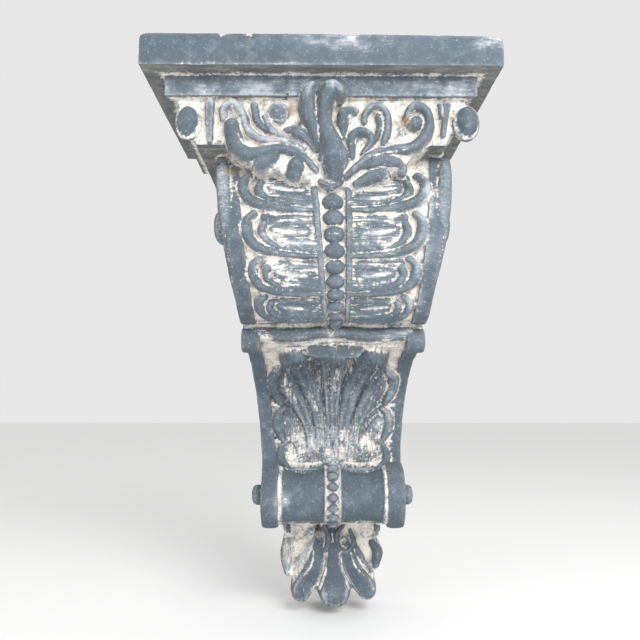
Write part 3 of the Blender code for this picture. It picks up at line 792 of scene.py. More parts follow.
@dataclass
class Foliage:
    """The leaves that fan over the frieze from one root, and the eggs and darts at its ends."""

    steps: tuple[int, int] = (400, 160)
    across: Pair = (-0.9, 0.96)
    along: Pair = (-1.16, 1.62)
    apron: Path = (
        (-0.6, 0.1), (-0.6, -0.15), (-0.5, -0.38), (-0.4, -0.52), (-0.2, -0.76), (0.0, -0.92),
        (0.14, -0.92), (0.34, -0.82), (0.45, -0.68), (0.56, -0.5), (0.62, -0.2), (0.66, 0.1),
    )
    strokes: tuple[Stroke, ...] = (
        Stroke(((-0.753, 0.87), (-0.757, 0.45), (-0.758, 0.08)), (5, 4.2, 3.2), (6.5, 6.5, 5),
            Section.FLAT, paint=0.8),
        Stroke(((0.851, 0.86), (0.839, 0.52), (0.83, 0.21)), (4.2, 3.6, 2.6), (6.5, 6.5, 5), Section.FLAT),
        Stroke(((0.802, 0.86), (0.811, 0.57)), (2.4, 2), (5.5, 4.5)),
        Stroke(((-0.456, 0.85), (-0.432, 0.51), (-0.375, 0.3)), (3.8, 4.2, 3.4), (6, 6.5, 6.5)),
        Stroke(((-0.658, 0.53), (-0.657, 0.76), (-0.592, 0.84), (-0.533, 0.61), (-0.507, 0.32),
            (-0.407, 0.09), (-0.244, -0.02), (-0.113, -0.26)), (4.4, 5.6, 5.8, 5.6, 5.2, 4.8, 4.4, 3.8),
            (7, 9, 10, 9.5, 9, 9, 9.5, 9), paint=0.45),
        Stroke(((-0.375, 0.58), (-0.35, 0.34), (-0.244, 0.08), (-0.114, -0.13)), (4, 4.6, 4.2, 3.4),
            (6.5, 7.5, 8, 8), paint=0.7),
        Stroke(((-0.295, 0.68), (-0.285, 0.68)), (11.3, 11.3), (8.5, 8.5), paint=0.9),
        Stroke(((-0.244, 0.32), (-0.162, 0.27), (-0.089, 0.09), (-0.035, -0.15)), (2.6, 7.4, 7.8, 4.8),
            (6, 10, 12, 10), Section.VEINED),
        Stroke(((-0.024, -0.15), (-0.048, 0.22), (-0.077, 0.53), (-0.094, 0.84), (-0.084, 1.08),
            (-0.062, 1.21)), (5.5, 7.4, 9.2, 10, 9, 6), (10, 14, 17, 19, 20, 17)),
        Stroke(((-0.33, -0.3), (-0.397, -0.41)), (9, 11.5), (10, 11.5)),
        Stroke(((-0.14, -0.36), (-0.162, -0.47), (-0.178, -0.66)), (7, 10.5, 9.5), (10, 13, 11)),
        Stroke(((-0.097, -0.71), (-0.09, -0.8)), (5.4, 4.4), (7.5, 6.5), paint=0.0),
        Stroke(((-0.599, 0.35), (-0.591, 0.14), (-0.559, -0.1), (-0.485, -0.26), (-0.372, -0.2),
            (-0.243, -0.15), (-0.113, -0.37), (-0.04, -0.61)), (9.3, 9.3, 8.8, 7.8, 6.8, 6.4, 6, 4.6),
            (15, 14.5, 13.5, 12.5, 11.5, 11, 10.5, 9)),
        Stroke(((0.148, 0.1), (0.144, 0.44), (0.163, 0.68), (0.225, 0.72)), (3.6, 6, 7, 5), (8, 9, 9.5, 8)),
        Stroke(((0.36, 0.03), (0.4, 0.34), (0.384, 0.6)), (3.2, 4.8, 3.6), (7, 8.5, 8)),
        Stroke(((0.416, -0.04), (0.443, 0.27), (0.436, 0.64), (0.366, 0.8), (0.301, 0.66), (0.29, 0.48)),
            (3.8, 5.4, 5.4, 5.4, 4.8, 3.2), (8, 10, 11, 11, 10, 7), paint=0.8),
        Stroke(((0.199, -0.27), (0.204, 0.06), (0.253, 0.24), (0.318, 0.19), (0.335, 0.01), (0.285, -0.24)),
            (5, 7, 6.4, 5.6, 5, 4), (9, 11, 11.5, 11, 10, 9)),
        Stroke(((0.64, 0.44), (0.648, 0.44)), (9, 9), (10.5, 10.5)),
        Stroke(((0.277, -0.54), (0.407, -0.42), (0.505, -0.43), (0.55, -0.56)), (4.4, 7, 7.6, 5),
            (9, 11, 11.5, 9)),
        Stroke(((0.24, -0.91), (0.342, -0.76), (0.423, -0.69)), (4.8, 7.8, 7.2), (8, 11, 11)),
        Stroke(((0.162, -0.77), (0.26, -0.5), (0.357, -0.25), (0.487, -0.16), (0.61, -0.11), (0.691, 0.1),
            (0.727, 0.41), (0.7, 0.7), (0.624, 0.79), (0.578, 0.56)),
            (4.2, 5.4, 6, 6.4, 7, 7, 7, 6.6, 6, 4.4), (9, 10.5, 12, 12.5, 13, 13, 13, 12.5, 11.5, 9)),
        Stroke(((-0.007, -0.85), (0.066, -0.98), (0.139, -0.86)), (2.8, 4.2, 2.8), (7, 9, 7)),
        Stroke(((0.088, -0.68), (0.083, -0.32), (0.051, 0.08), (0.021, 0.39), (0.016, 0.7), (0.035, 0.98)),
            (11.5, 16.5, 13.5, 9.5, 8.5, 9.5), (14, 21, 21, 20, 20, 22)),
        Stroke(((0.033, 0.9), (0.071, 1.09), (0.118, 1.02)), (10.2, 12.2, 9), (22, 27, 23)),
    )
    cuts: tuple[Stroke, ...] = (
        cut(((0.062, 0.3), (0.105, 0.02), (0.128, -0.3), (0.125, -0.6)), (1, 1.3, 1.3, 1),
            (1.6, 2.4, 2.4, 1.6), 0.75),
        cut(((-0.045, 1.18), (-0.047, 0.85)), (1.2, 1.2), (1.6, 1.4), 0.4),
        cut(((0.2, -0.62), (0.33, -0.33), (0.48, -0.22), (0.6, -0.17)), (0.9, 1.2, 1.1, 0.8), (2.2, 2.2),
            0.2),
        cut(((0.19, -0.5), (0.31, -0.22), (0.45, -0.1), (0.58, -0.04)), (0.9, 1.1, 1.1, 0.8), (1.8, 1.8),
            0.3),
        cut(((0.265, -0.2), (0.27, -0.02), (0.31, 0.04)), (1.3, 1.6, 1.2), (3, 3.4, 2.5), 0),
        cut(((0.225, -0.06), (0.235, 0.1)), (1, 1.2), (1.6, 1.8), 0.2),
        cut(((0.6, 0.27), (0.66, 0.25)), (2.4, 2.4), (3, 3), 0.3),
        cut(((-0.335, 0.68), (-0.29, 0.83), (-0.245, 0.68), (-0.29, 0.53), (-0.335, 0.68)), (1.1, 1.1),
            (1.1, 1.1), 0.65),
        cut(((-0.56, 0.16), (-0.52, -0.04), (-0.44, -0.1)), (1.2, 1.6, 1.2), (1.6, 2, 1.4), 0),
    )
    eggs: tuple[tuple[float, float, float, float, float], ...] = (
        (-0.902, 0.5, 23.5, 34.0, 11.0),
        (0.985, 0.5, 24.0, 34.0, 15.0),
    )
    ground_paint: float = 0.1
    apron_rise: float = 3.5
    apron_shoulder: float = 8.0
    line: float = 0.6
    back: float = 8 * MM
    apron_back: float = 28 * MM
    egg_turn: float = 0.12
    shell: Place = (1.24, 1.16, 0.62)
    shell_paint: float = 0.05

    def model(self, clay: Clay) -> None:
        """Carves the leaves and lays them with the eggs at the ends.

        Args:
            clay: The clay to lay them into.
        """
        ground = FriezeGround()
        relief = Relief(ground, self.across, self.along, self.steps, self.ground_paint)
        relief.panel(self.apron, (self.apron_rise,) * 2, self.apron_shoulder, self.ground_paint)
        for stroke in self.strokes:
            relief.draw(replace(stroke, line=self.line))
        for stroke in self.cuts:
            relief.draw(stroke)
        below = held((0.02 - relief.shares[..., 1]) / 0.1)
        relief.lay(clay, self.back + self.apron_back * below, everywhere=False)
        for across, share, wide, tall, rise in self.eggs:
            middle = ground.place(np.array([across, share]), np.array(-1 * MM))
            facing = np.array([self.egg_turn * np.sign(across), -1.0, 0.0])
            sizes = (wide, tall, rise)
            shell = tuple(size * more * MM for size, more in zip(sizes, self.shell))
            clay.ball(middle, facing, shell, self.shell_paint)
            clay.ball(middle, facing, tuple(size * MM for size in sizes), 1.0)


def flank(side: int, inset: float = 0.0) -> Callable[[Array], Array]:
    """The function that gives a side face's place across at a height.

    Args:
        side: -1 for the left face and 1 for the right one.
        inset: How far inside the face to stay.

    Returns:
        The function of height.
    """
    return lambda height: FORM.scroll_offset + side * (FORM.scroll_half(height) - inset)


def banded(ground: ScrollGround, band: float, steps: int) -> Array:
    """A rim's side outline: the profile, and back along it at a distance inside.

    Args:
        ground: The scroll field that the rim borders.
        band: The distance inside.
        steps: How many points each line has.

    Returns:
        Rows of depth and height.
    """
    share = np.linspace(0, 1, steps)
    point, outward = ground.at(share)
    return np.concatenate([point, (point - outward * band)[::-1]])


@dataclass
class Core:
    """The plain body of both scrolls, with its raised rims and the end rolls at the waist."""

    sink: float = 3.0 * MM
    lap: float = 4 * MM
    flank_inset: float = 1.5 * MM
    steps: int = 60
    flank_paint: float = 0.55
    rim_paint: float = 1.0

    def model(self, clay: Clay, upper: ScrollGround, hollow: ScrollGround) -> None:
        """Lays the body, its rims and the end rolls.

        Args:
            clay: The clay to lay them into.
            upper: The upper scroll's field.
            hollow: The lower scroll's field.
        """
        sunk = FORM.recess + self.sink
        shares = np.linspace(0, 1, self.steps)
        first, out = upper.at(shares)
        second, bend = hollow.at(shares)
        foot = FORM.roll_height - FORM.roll_radius * 1.3
        ceiling = FORM.soffit + self.lap
        outline = [(0.0, ceiling), (FORM.top_depth - sunk, ceiling)]
        outline += [tuple(pair) for pair in first - out * sunk]
        outline.append((FORM.waist_depth - FORM.rim_band / 2, FORM.end_roll_height))
        outline += [tuple(pair) for pair in second - bend * sunk]
        outline += [
            (FORM.roll_depth - FORM.roll_radius / 2, FORM.roll_height),
            (FORM.roll_depth - FORM.roll_radius, FORM.roll_height - FORM.roll_radius * 0.8),
            (FORM.leaf_depth, foot),
            (0.0, foot),
        ]
        left, right = flank(-1, self.flank_inset), flank(1, self.flank_inset)
        clay.prism(np.array(outline), left, right, self.flank_paint)
        top = np.array([[FORM.top_depth, ceiling]])
        for ground, start in ((upper, top), (hollow, top[:0])):
            band = np.concatenate([start, banded(ground, FORM.rim_band, self.steps)])
            for side in (-1, 1):
                outer, inner = flank(side), flank(side, FORM.rim_width)
                left, right = (outer, inner) if side < 0 else (inner, outer)
                clay.prism(band, left, right, self.rim_paint)
        radius, half = FORM.end_roll_radius, FORM.rim_width / 2 + 2 * MM
        for side in (-1, 1):
            across = FORM.scroll_offset + side * (FORM.scroll_half(FORM.end_roll_height) - FORM.rim_width / 2)
            middle = (across, -(FORM.waist_depth - radius + 2 * MM), FORM.end_roll_height)
            profile = [
                (-half, radius - 2 * MM),
                (-half + 1 * MM, radius - 0.4 * MM),
                (0.0, radius + 0.3 * MM),
                (half - 1 * MM, radius - 0.4 * MM),
                (half, radius - 2 * MM),
            ]
            clay.turned(profile, middle, self.rim_paint)


@dataclass
class UpperScroll:
    """The carved field of the upper scroll: a beaded rib between four pairs of curled lobes."""

    steps: tuple[int, int] = (270, 300)
    feet: Run = (0.363, 0.582, 0.763, 0.925)
    bends: Run = (1.0, 0.995, 0.975, 0.95)
    top: float = 0.135
    full_pitch: float = 0.2
    lobe_rises: Pair = (2.0, 6.8)
    lobe_shoulder: float = 6.0
    lobe_paint: float = 0.84
    left_rail: Path = ((-0.223, 0.16), (-0.165, 0.56), (-0.106, 0.955))
    right_rail: Path = ((0.146, 0.16), (0.16, 0.56), (0.173, 0.955))
    rib_rise: float = 2 * MM
    rib_paint: float = 0.12
    sill: Stroke = Stroke(((0.14, 0.962), (0.5, 0.968), (0.94, 0.958)), (2.4, 3, 2.6), (3.4, 4, 3),
                       paint=0.6)
    back: float = 7 * MM
    bead_count: int = 11
    bead_top: float = 0.262
    bead_top_pitch: float = 0.086
    bead_foot_pitch: float = 0.043
    bead_width: float = 0.0225
    bead_rise: float = 0.0088
    bead_across: float = -0.034
    bead_lean: float = 0.062
    bead_narrowing: float = 0.28
    bead_lap: float = 1.06
    bead_lift: float = 1.2 * MM

    def lobe(self, top: float, foot: float, bend: float) -> tuple[list[Pair], list[Stroke]]:
        """One lobe on the right, from its foot up to the lobe above.

        Args:
            top: Share along where the lobe above ends.
            foot: Share along of its own foot.
            bend: How far its outer edge swings out, as a share across.

        Returns:
            The outline of its broad face, and its strokes.
        """
        pitch = foot - top

        def at(across: float, up: float) -> Pair:
            """A place from a share across and pitches above the foot."""
            return across, foot - up * pitch

        size = min(1.0, pitch / self.full_pitch)
        face = [at(0.0, 0.0), at(0.45, 0.07), at(0.62, 0.17), at(0.71, 0.32), at(0.745, 0.58),
                at(0.8, 0.84), at(0.74, 1.08), at(0.4, 1.18), at(0.0, 1.18)]
        outer = (at(0.13, 0.035), at(0.45, 0.055), at(0.68, 0.12), at(bend - 0.13, 0.26),
                 at(bend - 0.055, 0.48), at(bend - 0.05, 0.76), at(bend - 0.13, 0.97))
        inner = (at(0.42, 0.15), at(0.6, 0.21), at(0.735, 0.35), at(0.785, 0.55), at(0.765, 0.72))
        slot = (at(0.66, 0.61), at(0.51, 0.56), at(0.32, 0.53))
        lower_swell = (at(0.1, 0.25), at(0.4, 0.26), at(0.62, 0.38))
        upper_swell = (at(0.14, 0.84), at(0.42, 0.85), at(0.64, 0.8))
        upper_fold = (at(0.18, 0.82), at(0.52, 0.82), at(0.72, 0.7))
        lower_fold = (at(0.2, 0.3), at(0.48, 0.32), at(0.66, 0.42))
        strokes = [
            Stroke(lower_swell, (6 * size, 8 * size, 5 * size), (1, 1.8, 0.8), tool=Tool.SWELL, paint=0.86),
            Stroke(upper_swell, (5 * size, 7 * size, 5 * size), (0.8, 1.5, 0.8),
                tool=Tool.SWELL, paint=0.86),
            Stroke(slot, (4 * size, 6.4 * size, 4.4 * size), (0.9, 1.6, 1),
                Section.SHARP, Tool.SWELL, paint=0.95),
            cut(slot, (1.2 * size, 3 * size, 1.4 * size), (2, 3.4, 2.2), 0),
            cut(upper_fold, (1, 1.3, 1), (0.8, 1.1, 0.8), 0.55),
            cut(lower_fold, (0.9, 1.2, 0.9), (0.6, 0.9, 0.6), 0.55),
            Stroke(outer, (2.6, 3.6, 4.8, 6.2, 7, 6.5, 4.8), (8, 8.6, 9.2, 9.8, 10.2, 9.8, 7.6), line=0.5),
            Stroke(inner, (2.4, 3.6, 4.8, 5.6, 5), (7.4, 8, 8.8, 9.2, 8.2), line=0.7),
        ]
        return face, strokes

    def model(self, clay: Clay, ground: ScrollGround) -> None:
        """Carves the field and lays it with its beads.

        Args:
            clay: The clay to lay it into.
            ground: The upper scroll's field.
        """
        relief = Relief(ground, (-1.05, 1.05), (0.0, 1.0), self.steps, 0.0)
        for side in (-1, 1):
            top = self.top
            for foot, bend in zip(self.feet, self.bends):
                face, strokes = self.lobe(top, foot, bend)
                outline = [(side * across, along) for across, along in face]
                relief.panel(outline, self.lobe_rises, self.lobe_shoulder, self.lobe_paint)
                for stroke in strokes:
                    relief.draw(stroke.turned(side))
                top = foot
        across, along = relief.shares.reshape(-1, 2).T
        rails = (self.left_rail, self.right_rail)
        start, end = (np.interp(along, *reversed([*zip(*rail)])) for rail in rails)
        rib = (across > start) & (across < end)
        relief.height[rib] = self.rib_rise
        relief.paint[rib] = self.rib_paint
        for rail in rails:
            relief.draw(Stroke(rail, (3.7, 3.4, 2.8), (7.6, 7.2, 6.4), Section.FLAT, paint=0.9))
        for side in (-1, 1):
            relief.draw(self.sill.turned(side))
        relief.lay(clay, self.back)
        share = self.bead_top
        for index in range(self.bead_count):
            part = index / (self.bead_count - 1)
            pitch = self.bead_top_pitch - (self.bead_top_pitch - self.bead_foot_pitch) * part**1.3
            share += pitch / 2
            spot = np.array([self.bead_across + self.bead_lean * share, share])
            low, high = ground.place(spot, np.array(0.0)), ground.place(spot, np.array(1.0))
            width = self.bead_width * (1 - self.bead_narrowing * part)
            size = (width, pitch * ground.length * self.bead_lap, self.bead_rise)
            clay.ball(low + (high - low) * self.bead_lift, high - low, size, 1.0)
            share += pitch / 2


@dataclass
class Waist:
    """The arched band across the waist, with a small triangle cut into its middle."""

    depth: float = 0.1475
    reach: float = 0.086
    along: Pair = (-0.026, 0.008)
    steps: tuple[int, int] = (230, 46)
    arch: Stroke = Stroke(((-0.084, -0.0085), (-0.042, -0.0105), (0, -0.0065), (0.042, -0.0105),
                       (0.084, -0.0085)), (7.6, 8.8, 6.8, 8.8, 7.6), (9.5, 10.5, 11, 10.5, 9.5), paint=0.85)
    notch_middle: float = -0.0025
    notch_half: float = 0.009
    notch_along: Pair = (0.002, -0.0125)
    back: float = 8 * MM

    def model(self, clay: Clay) -> None:
        """Carves the band and lays it.

        Args:
            clay: The clay to lay it into.
        """
        relief = Relief(BandGround(self.depth), (-self.reach, self.reach), self.along, self.steps, 0.0)
        relief.draw(self.arch)
        top, foot = self.notch_along
        for side in (-1, 1):
            start = (self.notch_middle + side * self.notch_half, top)
            relief.draw(cut((start, (self.notch_middle, foot)), (2, 1.7), (4.6, 3.6), 0))
        relief.lay(clay, self.back, everywhere=False)


@dataclass
class Palmette:
    """The fan of fluted leaves in the hollow, whose tips curl forward."""

    steps: tuple[int, int] = (220, 260)
    stretch: float = 1.07
    shift: float = 0.012
    middle: tuple[Stroke, ...] = (
        Stroke(((0.01, 0.95), (0.01, 0.76), (0.015, 0.58), (0.02, 0.38), (0.02, 0.14)),
            (6.6, 8, 10, 15, 20), (5, 6.2, 7.6, 8.8, 9.4), Section.FLUTED, paint=0.8),
        Stroke(((-0.26, 0.022), (-0.13, 0.042), (0.02, 0.048), (0.17, 0.038), (0.31, 0.014)),
            (9, 12.5, 13.5, 12.5, 9), (12, 15, 16.5, 15, 12)),
    )
    blades: tuple[Stroke, ...] = (
        Stroke(((0.16, 0.97), (0.18, 0.74), (0.25, 0.55), (0.37, 0.38), (0.5, 0.2)), (6, 8, 10.4, 13, 15),
            (5, 6.6, 8.2, 9.4, 10.4), Section.VEINED, paint=0.85),
        Stroke(((0.3, 0.97), (0.34, 0.79), (0.44, 0.64), (0.57, 0.52), (0.74, 0.42)),
            (5.4, 6.8, 8.8, 10.8, 12), (4.8, 6.2, 7.6, 8.6, 9.2), Section.VEINED, paint=0.8),
        Stroke(((0.45, 0.98), (0.5, 0.84), (0.6, 0.74), (0.77, 0.665)), (5, 6.4, 8.6, 10.4),
            (4.6, 5.8, 7.2, 8.2), Section.VEINED, paint=0.75),
        Stroke(((0.6, 0.99), (0.68, 0.92), (0.8, 0.88)), (5, 7.2, 8.8), (4.4, 5.8, 7),
            Section.VEINED, paint=0.7),
    )
    tips: tuple[Stroke, ...] = (
        Stroke(((0.68, 0.205), (0.62, 0.125), (0.5, 0.075), (0.38, 0.085)), (7.6, 10.6, 11, 7),
            (12.5, 16, 16.5, 13)),
        Stroke(((0.83, 0.54), (0.895, 0.45), (0.88, 0.36), (0.8, 0.315)), (5, 8.2, 8.4, 5.2),
            (9, 11.5, 12, 9.5)),
        Stroke(((0.84, 0.775), (0.9, 0.7), (0.875, 0.615), (0.79, 0.58)), (4.6, 7.6, 7.6, 4.6),
            (8.5, 10.5, 10.5, 8.5)),
        Stroke(((0.8, 0.975), (0.89, 0.91), (0.875, 0.825), (0.79, 0.785)), (4.4, 6.6, 6.4, 3.8),
            (8, 9.5, 9.5, 8)),
    )
    grooves: tuple[Stroke, ...] = (
        cut(((0.3, 0.18), (0.21, 0.36), (0.14, 0.5), (0.11, 0.64), (0.11, 0.92)), (1.6, 1.5, 1.3, 1.1, 1),
            (3.4, 3.2, 3, 2.6, 2), 0.9),
        cut(((0.66, 0.3), (0.49, 0.45), (0.37, 0.58), (0.29, 0.71), (0.25, 0.92)), (1.5, 1.5, 1.3, 1.1, 1),
            (3.2, 3.2, 3, 2.6, 2), 0.9),
        cut(((0.75, 0.555), (0.6, 0.61), (0.47, 0.71), (0.4, 0.9)), (1.5, 1.4, 1.2, 1), (3, 3, 2.6, 2),
            0.85),
        cut(((0.8, 0.765), (0.66, 0.8), (0.56, 0.93)), (1.4, 1.3, 1), (2.8, 2.6, 2), 0.8),
        cut(((0.47, 0.2), (0.36, 0.38), (0.255, 0.56)), (0.7, 0.9, 0.6), (0.8, 1.2, 0.6), 0.6),
        cut(((0.54, 0.27), (0.41, 0.42), (0.3, 0.56)), (0.7, 0.9, 0.6), (0.8, 1, 0.6), 0.6),
    )
    fan: Path = (
        (0.0, 0.0), (0.4, 0.02), (0.68, 0.1), (0.74, 0.26), (0.9, 0.34), (0.93, 0.48), (0.8, 0.57),
        (0.92, 0.62), (0.93, 0.72), (0.8, 0.79), (0.9, 0.83), (0.91, 0.93), (0.76, 1.0), (0.0, 1.0),
    )
    fan_rise: float = 3.4
    fan_shoulder: float = 3.0
    fan_paint: float = 0.85
    folds: Run = (-0.61, -0.53, -0.45, -0.1, 0.05, 0.19, 0.52, 0.6, 0.68)
    back: float = 7 * MM
    lips: tuple[Path, ...] = (
        ((-0.9, 0.9), (-0.7, 0.945), (-0.42, 0.955), (-0.18, 0.93)),
        ((0.22, 0.93), (0.44, 0.955), (0.74, 0.946), (0.96, 0.9)),
    )
    webs: tuple[Stroke, ...] = (
        Stroke(((0.97, 0.555), (0.88, 0.565), (0.8, 0.545)), (2.4, 2, 1.4), (5.5, 5.5, 5), paint=0.0),
        Stroke(((0.97, 0.775), (0.9, 0.782), (0.83, 0.775)), (2.2, 1.9, 1.3), (5.5, 5.5, 5), paint=0.0),
    )

    def model(self, clay: Clay, ground: ScrollGround) -> None:
        """Carves the fan and lays it.

        Args:
            clay: The clay to lay it into.
            ground: The lower scroll's field.
        """
        relief = Relief(ground, (-1.06, 1.06), (0.0, 1.0), self.steps, 0.0)
        sides = ((-1, 1.0, 0.0), (1, self.stretch, self.shift))
        for side, stretch, shift in sides:
            outline = [(side * (across * stretch + shift), along) for across, along in self.fan]
            relief.panel(outline, (self.fan_rise,) * 2, self.fan_shoulder, self.fan_paint)
        for stroke in (*self.webs, *reversed(self.blades), *self.tips):
            for side, stretch, shift in sides:
                relief.draw(stroke.turned(side, stretch, shift))
        for stroke in self.middle:
            relief.draw(stroke)
        for stroke in self.grooves:
            for side, stretch, shift in sides:
                relief.draw(stroke.turned(side, stretch, shift))
        for across in self.folds:
            path = ((across, -0.02), (across * 1.04, 0.12 + 0.06 * (abs(across) > 0.3)))
            relief.draw(cut(path, (1.6, 1.3), (1, 1.4), 0.85))
        for path in self.lips:
            relief.draw(Stroke(path, (1.3, 1.8, 1.8, 1.3), (8, 9, 9, 8), paint=0.0))
        relief.lay(clay, self.back)


@dataclass
class Volutes:
    """A spiral band and a domed eye on each flank of the upper scroll."""

    eye_depth: float = 0.115
    eye_drop: float = 0.06
    eye_radius: float = 0.021
    eye_reach: float = 0.024
    ring_radius: float = 0.0335
    growth: float = 0.8
    band_radius: float = 0.0085
    band_reach: float = 0.008
    quarters: float = 5.6
    root: float = 6 * MM
    ring_bevel: float = 3 * MM
    paint: float = 0.7
    ring_paint: float = 0.6

    def model(self, clay: Clay) -> None:
        """Lays both spirals and both eyes.

        Args:
            clay: The clay to lay them into.
        """
        eye = FORM.soffit - self.eye_drop
        run = FORM.waist_depth - self.band_radius - self.eye_depth
        start = Vector((run, FORM.waist + self.band_radius * 1.5 - eye))
        bearing = math.atan2(start.y, start.x)
        turn = np.linspace(0, self.quarters, 140)
        radius = start.length * self.growth**turn
        angle = bearing + np.pi / 2 * turn
        depth = self.eye_depth + radius * np.cos(angle)
        height = eye + radius * np.sin(angle)
        size = self.band_radius * (0.5 + 0.5 * self.growth**turn) * np.minimum(1, 0.25 + turn)
        around = 2 * np.pi * np.arange(16) / 16
        for side in (-1, 1):
            reach = FORM.scroll_half(height) + self.band_reach - self.band_radius
            across = FORM.scroll_offset + side * reach
            middle = np.stack([across, -depth, height], -1)
            outward = np.stack([np.zeros_like(angle), -np.cos(angle), np.sin(angle)], -1)
            ring = middle[:, None] + size[:, None, None] * (
                np.cos(around)[None, :, None] * outward[:, None]
                + np.sin(around)[None, :, None] * np.array([side, 0.0, 0.0])
            )
            clay.rings(ring if side > 0 else ring[:, ::-1], self.paint)
            face = FORM.scroll_half(eye)
            middle = (FORM.scroll_offset + side * face, -self.eye_depth, eye)
            reach = side * self.band_reach
            rim = [(-side * self.root, self.ring_radius), (reach * 0.6, self.ring_radius)]
            rim.append((reach, self.ring_radius - self.ring_bevel))
            clay.turned(rim[:: 1 if side > 0 else -1], middle, self.ring_paint)
            steps = np.linspace(0, np.pi / 2, 8)
            dome = [(-side * self.root, self.eye_radius), (side * self.eye_reach * 0.55, self.eye_radius)]
            for step in steps[1:]:
                rise = side * self.eye_reach * (0.55 + 0.45 * math.sin(step))
                dome.append((rise, self.eye_radius * math.cos(step) ** 0.7))
            clay.turned(dome[:: 1 if side > 0 else -1], middle, self.paint)


@dataclass
class FootRoll:
    """The turned roll at the foot: two cheeks, two hollow spools and a beaded belt."""

    cheek: float = 0.018
    fillet: float = 0.0045
    fillet_drop: float = 0.003
    spool_drop: float = 0.0048
    spool_dip: float = 0.0062
    belt: float = 0.0185
    belt_drop: float = 0.0045
    beads: int = 8
    bead_step: float = 20.5
    bead_start: float = 84.0
    bead_size: Place = (0.012, 0.0104, 0.0066)
    bead_lift: float = 0.6 * MM
    boss_radius: float = 0.011
    boss_reach: float = 0.012
    cheek_crown: float = 1.4 * MM
    belt_lip: float = 2.4 * MM
    belt_lip_width: float = 2.2 * MM
    cream_paint: float = 0.12
    boss_paint: float = 0.8
    steps: tuple[int, int] = (280, 160)

    def radius(self, across: Array, angle: Array) -> Array:
        """Radius of the roll, whose spools are hollowed less underneath.

        Args:
            across: Distances from the roll's middle.
            angle: Angles up from the front.

        Returns:
            The radii.
        """
        cheek = FORM.scroll_foot_width / 2 - self.cheek
        spool = cheek - self.fillet
        belt = self.belt / 2
        part = held((across - belt) / (spool - belt))
        depth = 0.25 + 0.75 * held((np.sin(angle) + 0.9) / 0.9)
        hollow = FORM.roll_radius - self.spool_drop - self.spool_dip * depth * np.sin(np.pi * part) ** 0.8
        crown = self.cheek_crown
        end = FORM.roll_radius + crown - crown * np.abs(2 * (across - cheek) / self.cheek - 1) ** 3
        floor = FORM.roll_radius - self.belt_drop
        edge = floor + self.belt_lip
        made = np.where(across >= spool, FORM.roll_radius - self.fillet_drop, hollow)
        made = np.where(across >= cheek, end, made)
        return np.where(across >= belt, made, np.where(across >= belt - self.belt_lip_width, edge, floor))

    def model(self, clay: Clay) -> None:
        """Lays the roll, its beads and its bosses.

        Args:
            clay: The clay to lay them into.
        """
        half = FORM.scroll_foot_width / 2
        middle = (FORM.scroll_offset, -FORM.roll_depth, FORM.roll_height)
        rings, sides = self.steps
        turn = 2 * np.pi * np.arange(sides) / sides
        across, angle = np.meshgrid(np.linspace(-half, half, rings), turn, indexing="ij")
        radius = self.radius(np.abs(across), angle)
        ring = np.stack([across, -radius * np.cos(angle), radius * np.sin(angle)], -1) + np.array(middle)
        off = np.abs(across[:, 0])
        filleted = (off > half - self.cheek - self.fillet) & (off < half - self.cheek)
        paint = np.where(filleted | (off < self.belt / 2 - 0.5 * MM), self.cream_paint, 1.0)
        clay.rings(ring, np.append(np.repeat(paint, sides), [1.0, 1.0]))
        for index in range(self.beads):
            angle = math.radians(self.bead_start - self.bead_step * index)
            outward = np.array([0.0, -math.cos(angle), math.sin(angle)])
            spot = np.array(middle) + outward * (FORM.roll_radius - self.belt_drop + self.bead_lift)
            clay.ball(spot, outward, self.bead_size, 1.0)
        for side in (-1, 1):
            reach = self.boss_reach
            profile = [(-6 * MM, self.boss_radius), (reach * 0.6, self.boss_radius)]
            profile += [(reach * 0.9, self.boss_radius * 0.8), (reach, self.boss_radius * 0.35)]
            profile = [(side * across, radius) for across, radius in profile][:: 1 if side > 0 else -1]
            clay.turned(profile, (middle[0] + side * half, middle[1], middle[2]), self.boss_paint, 64)


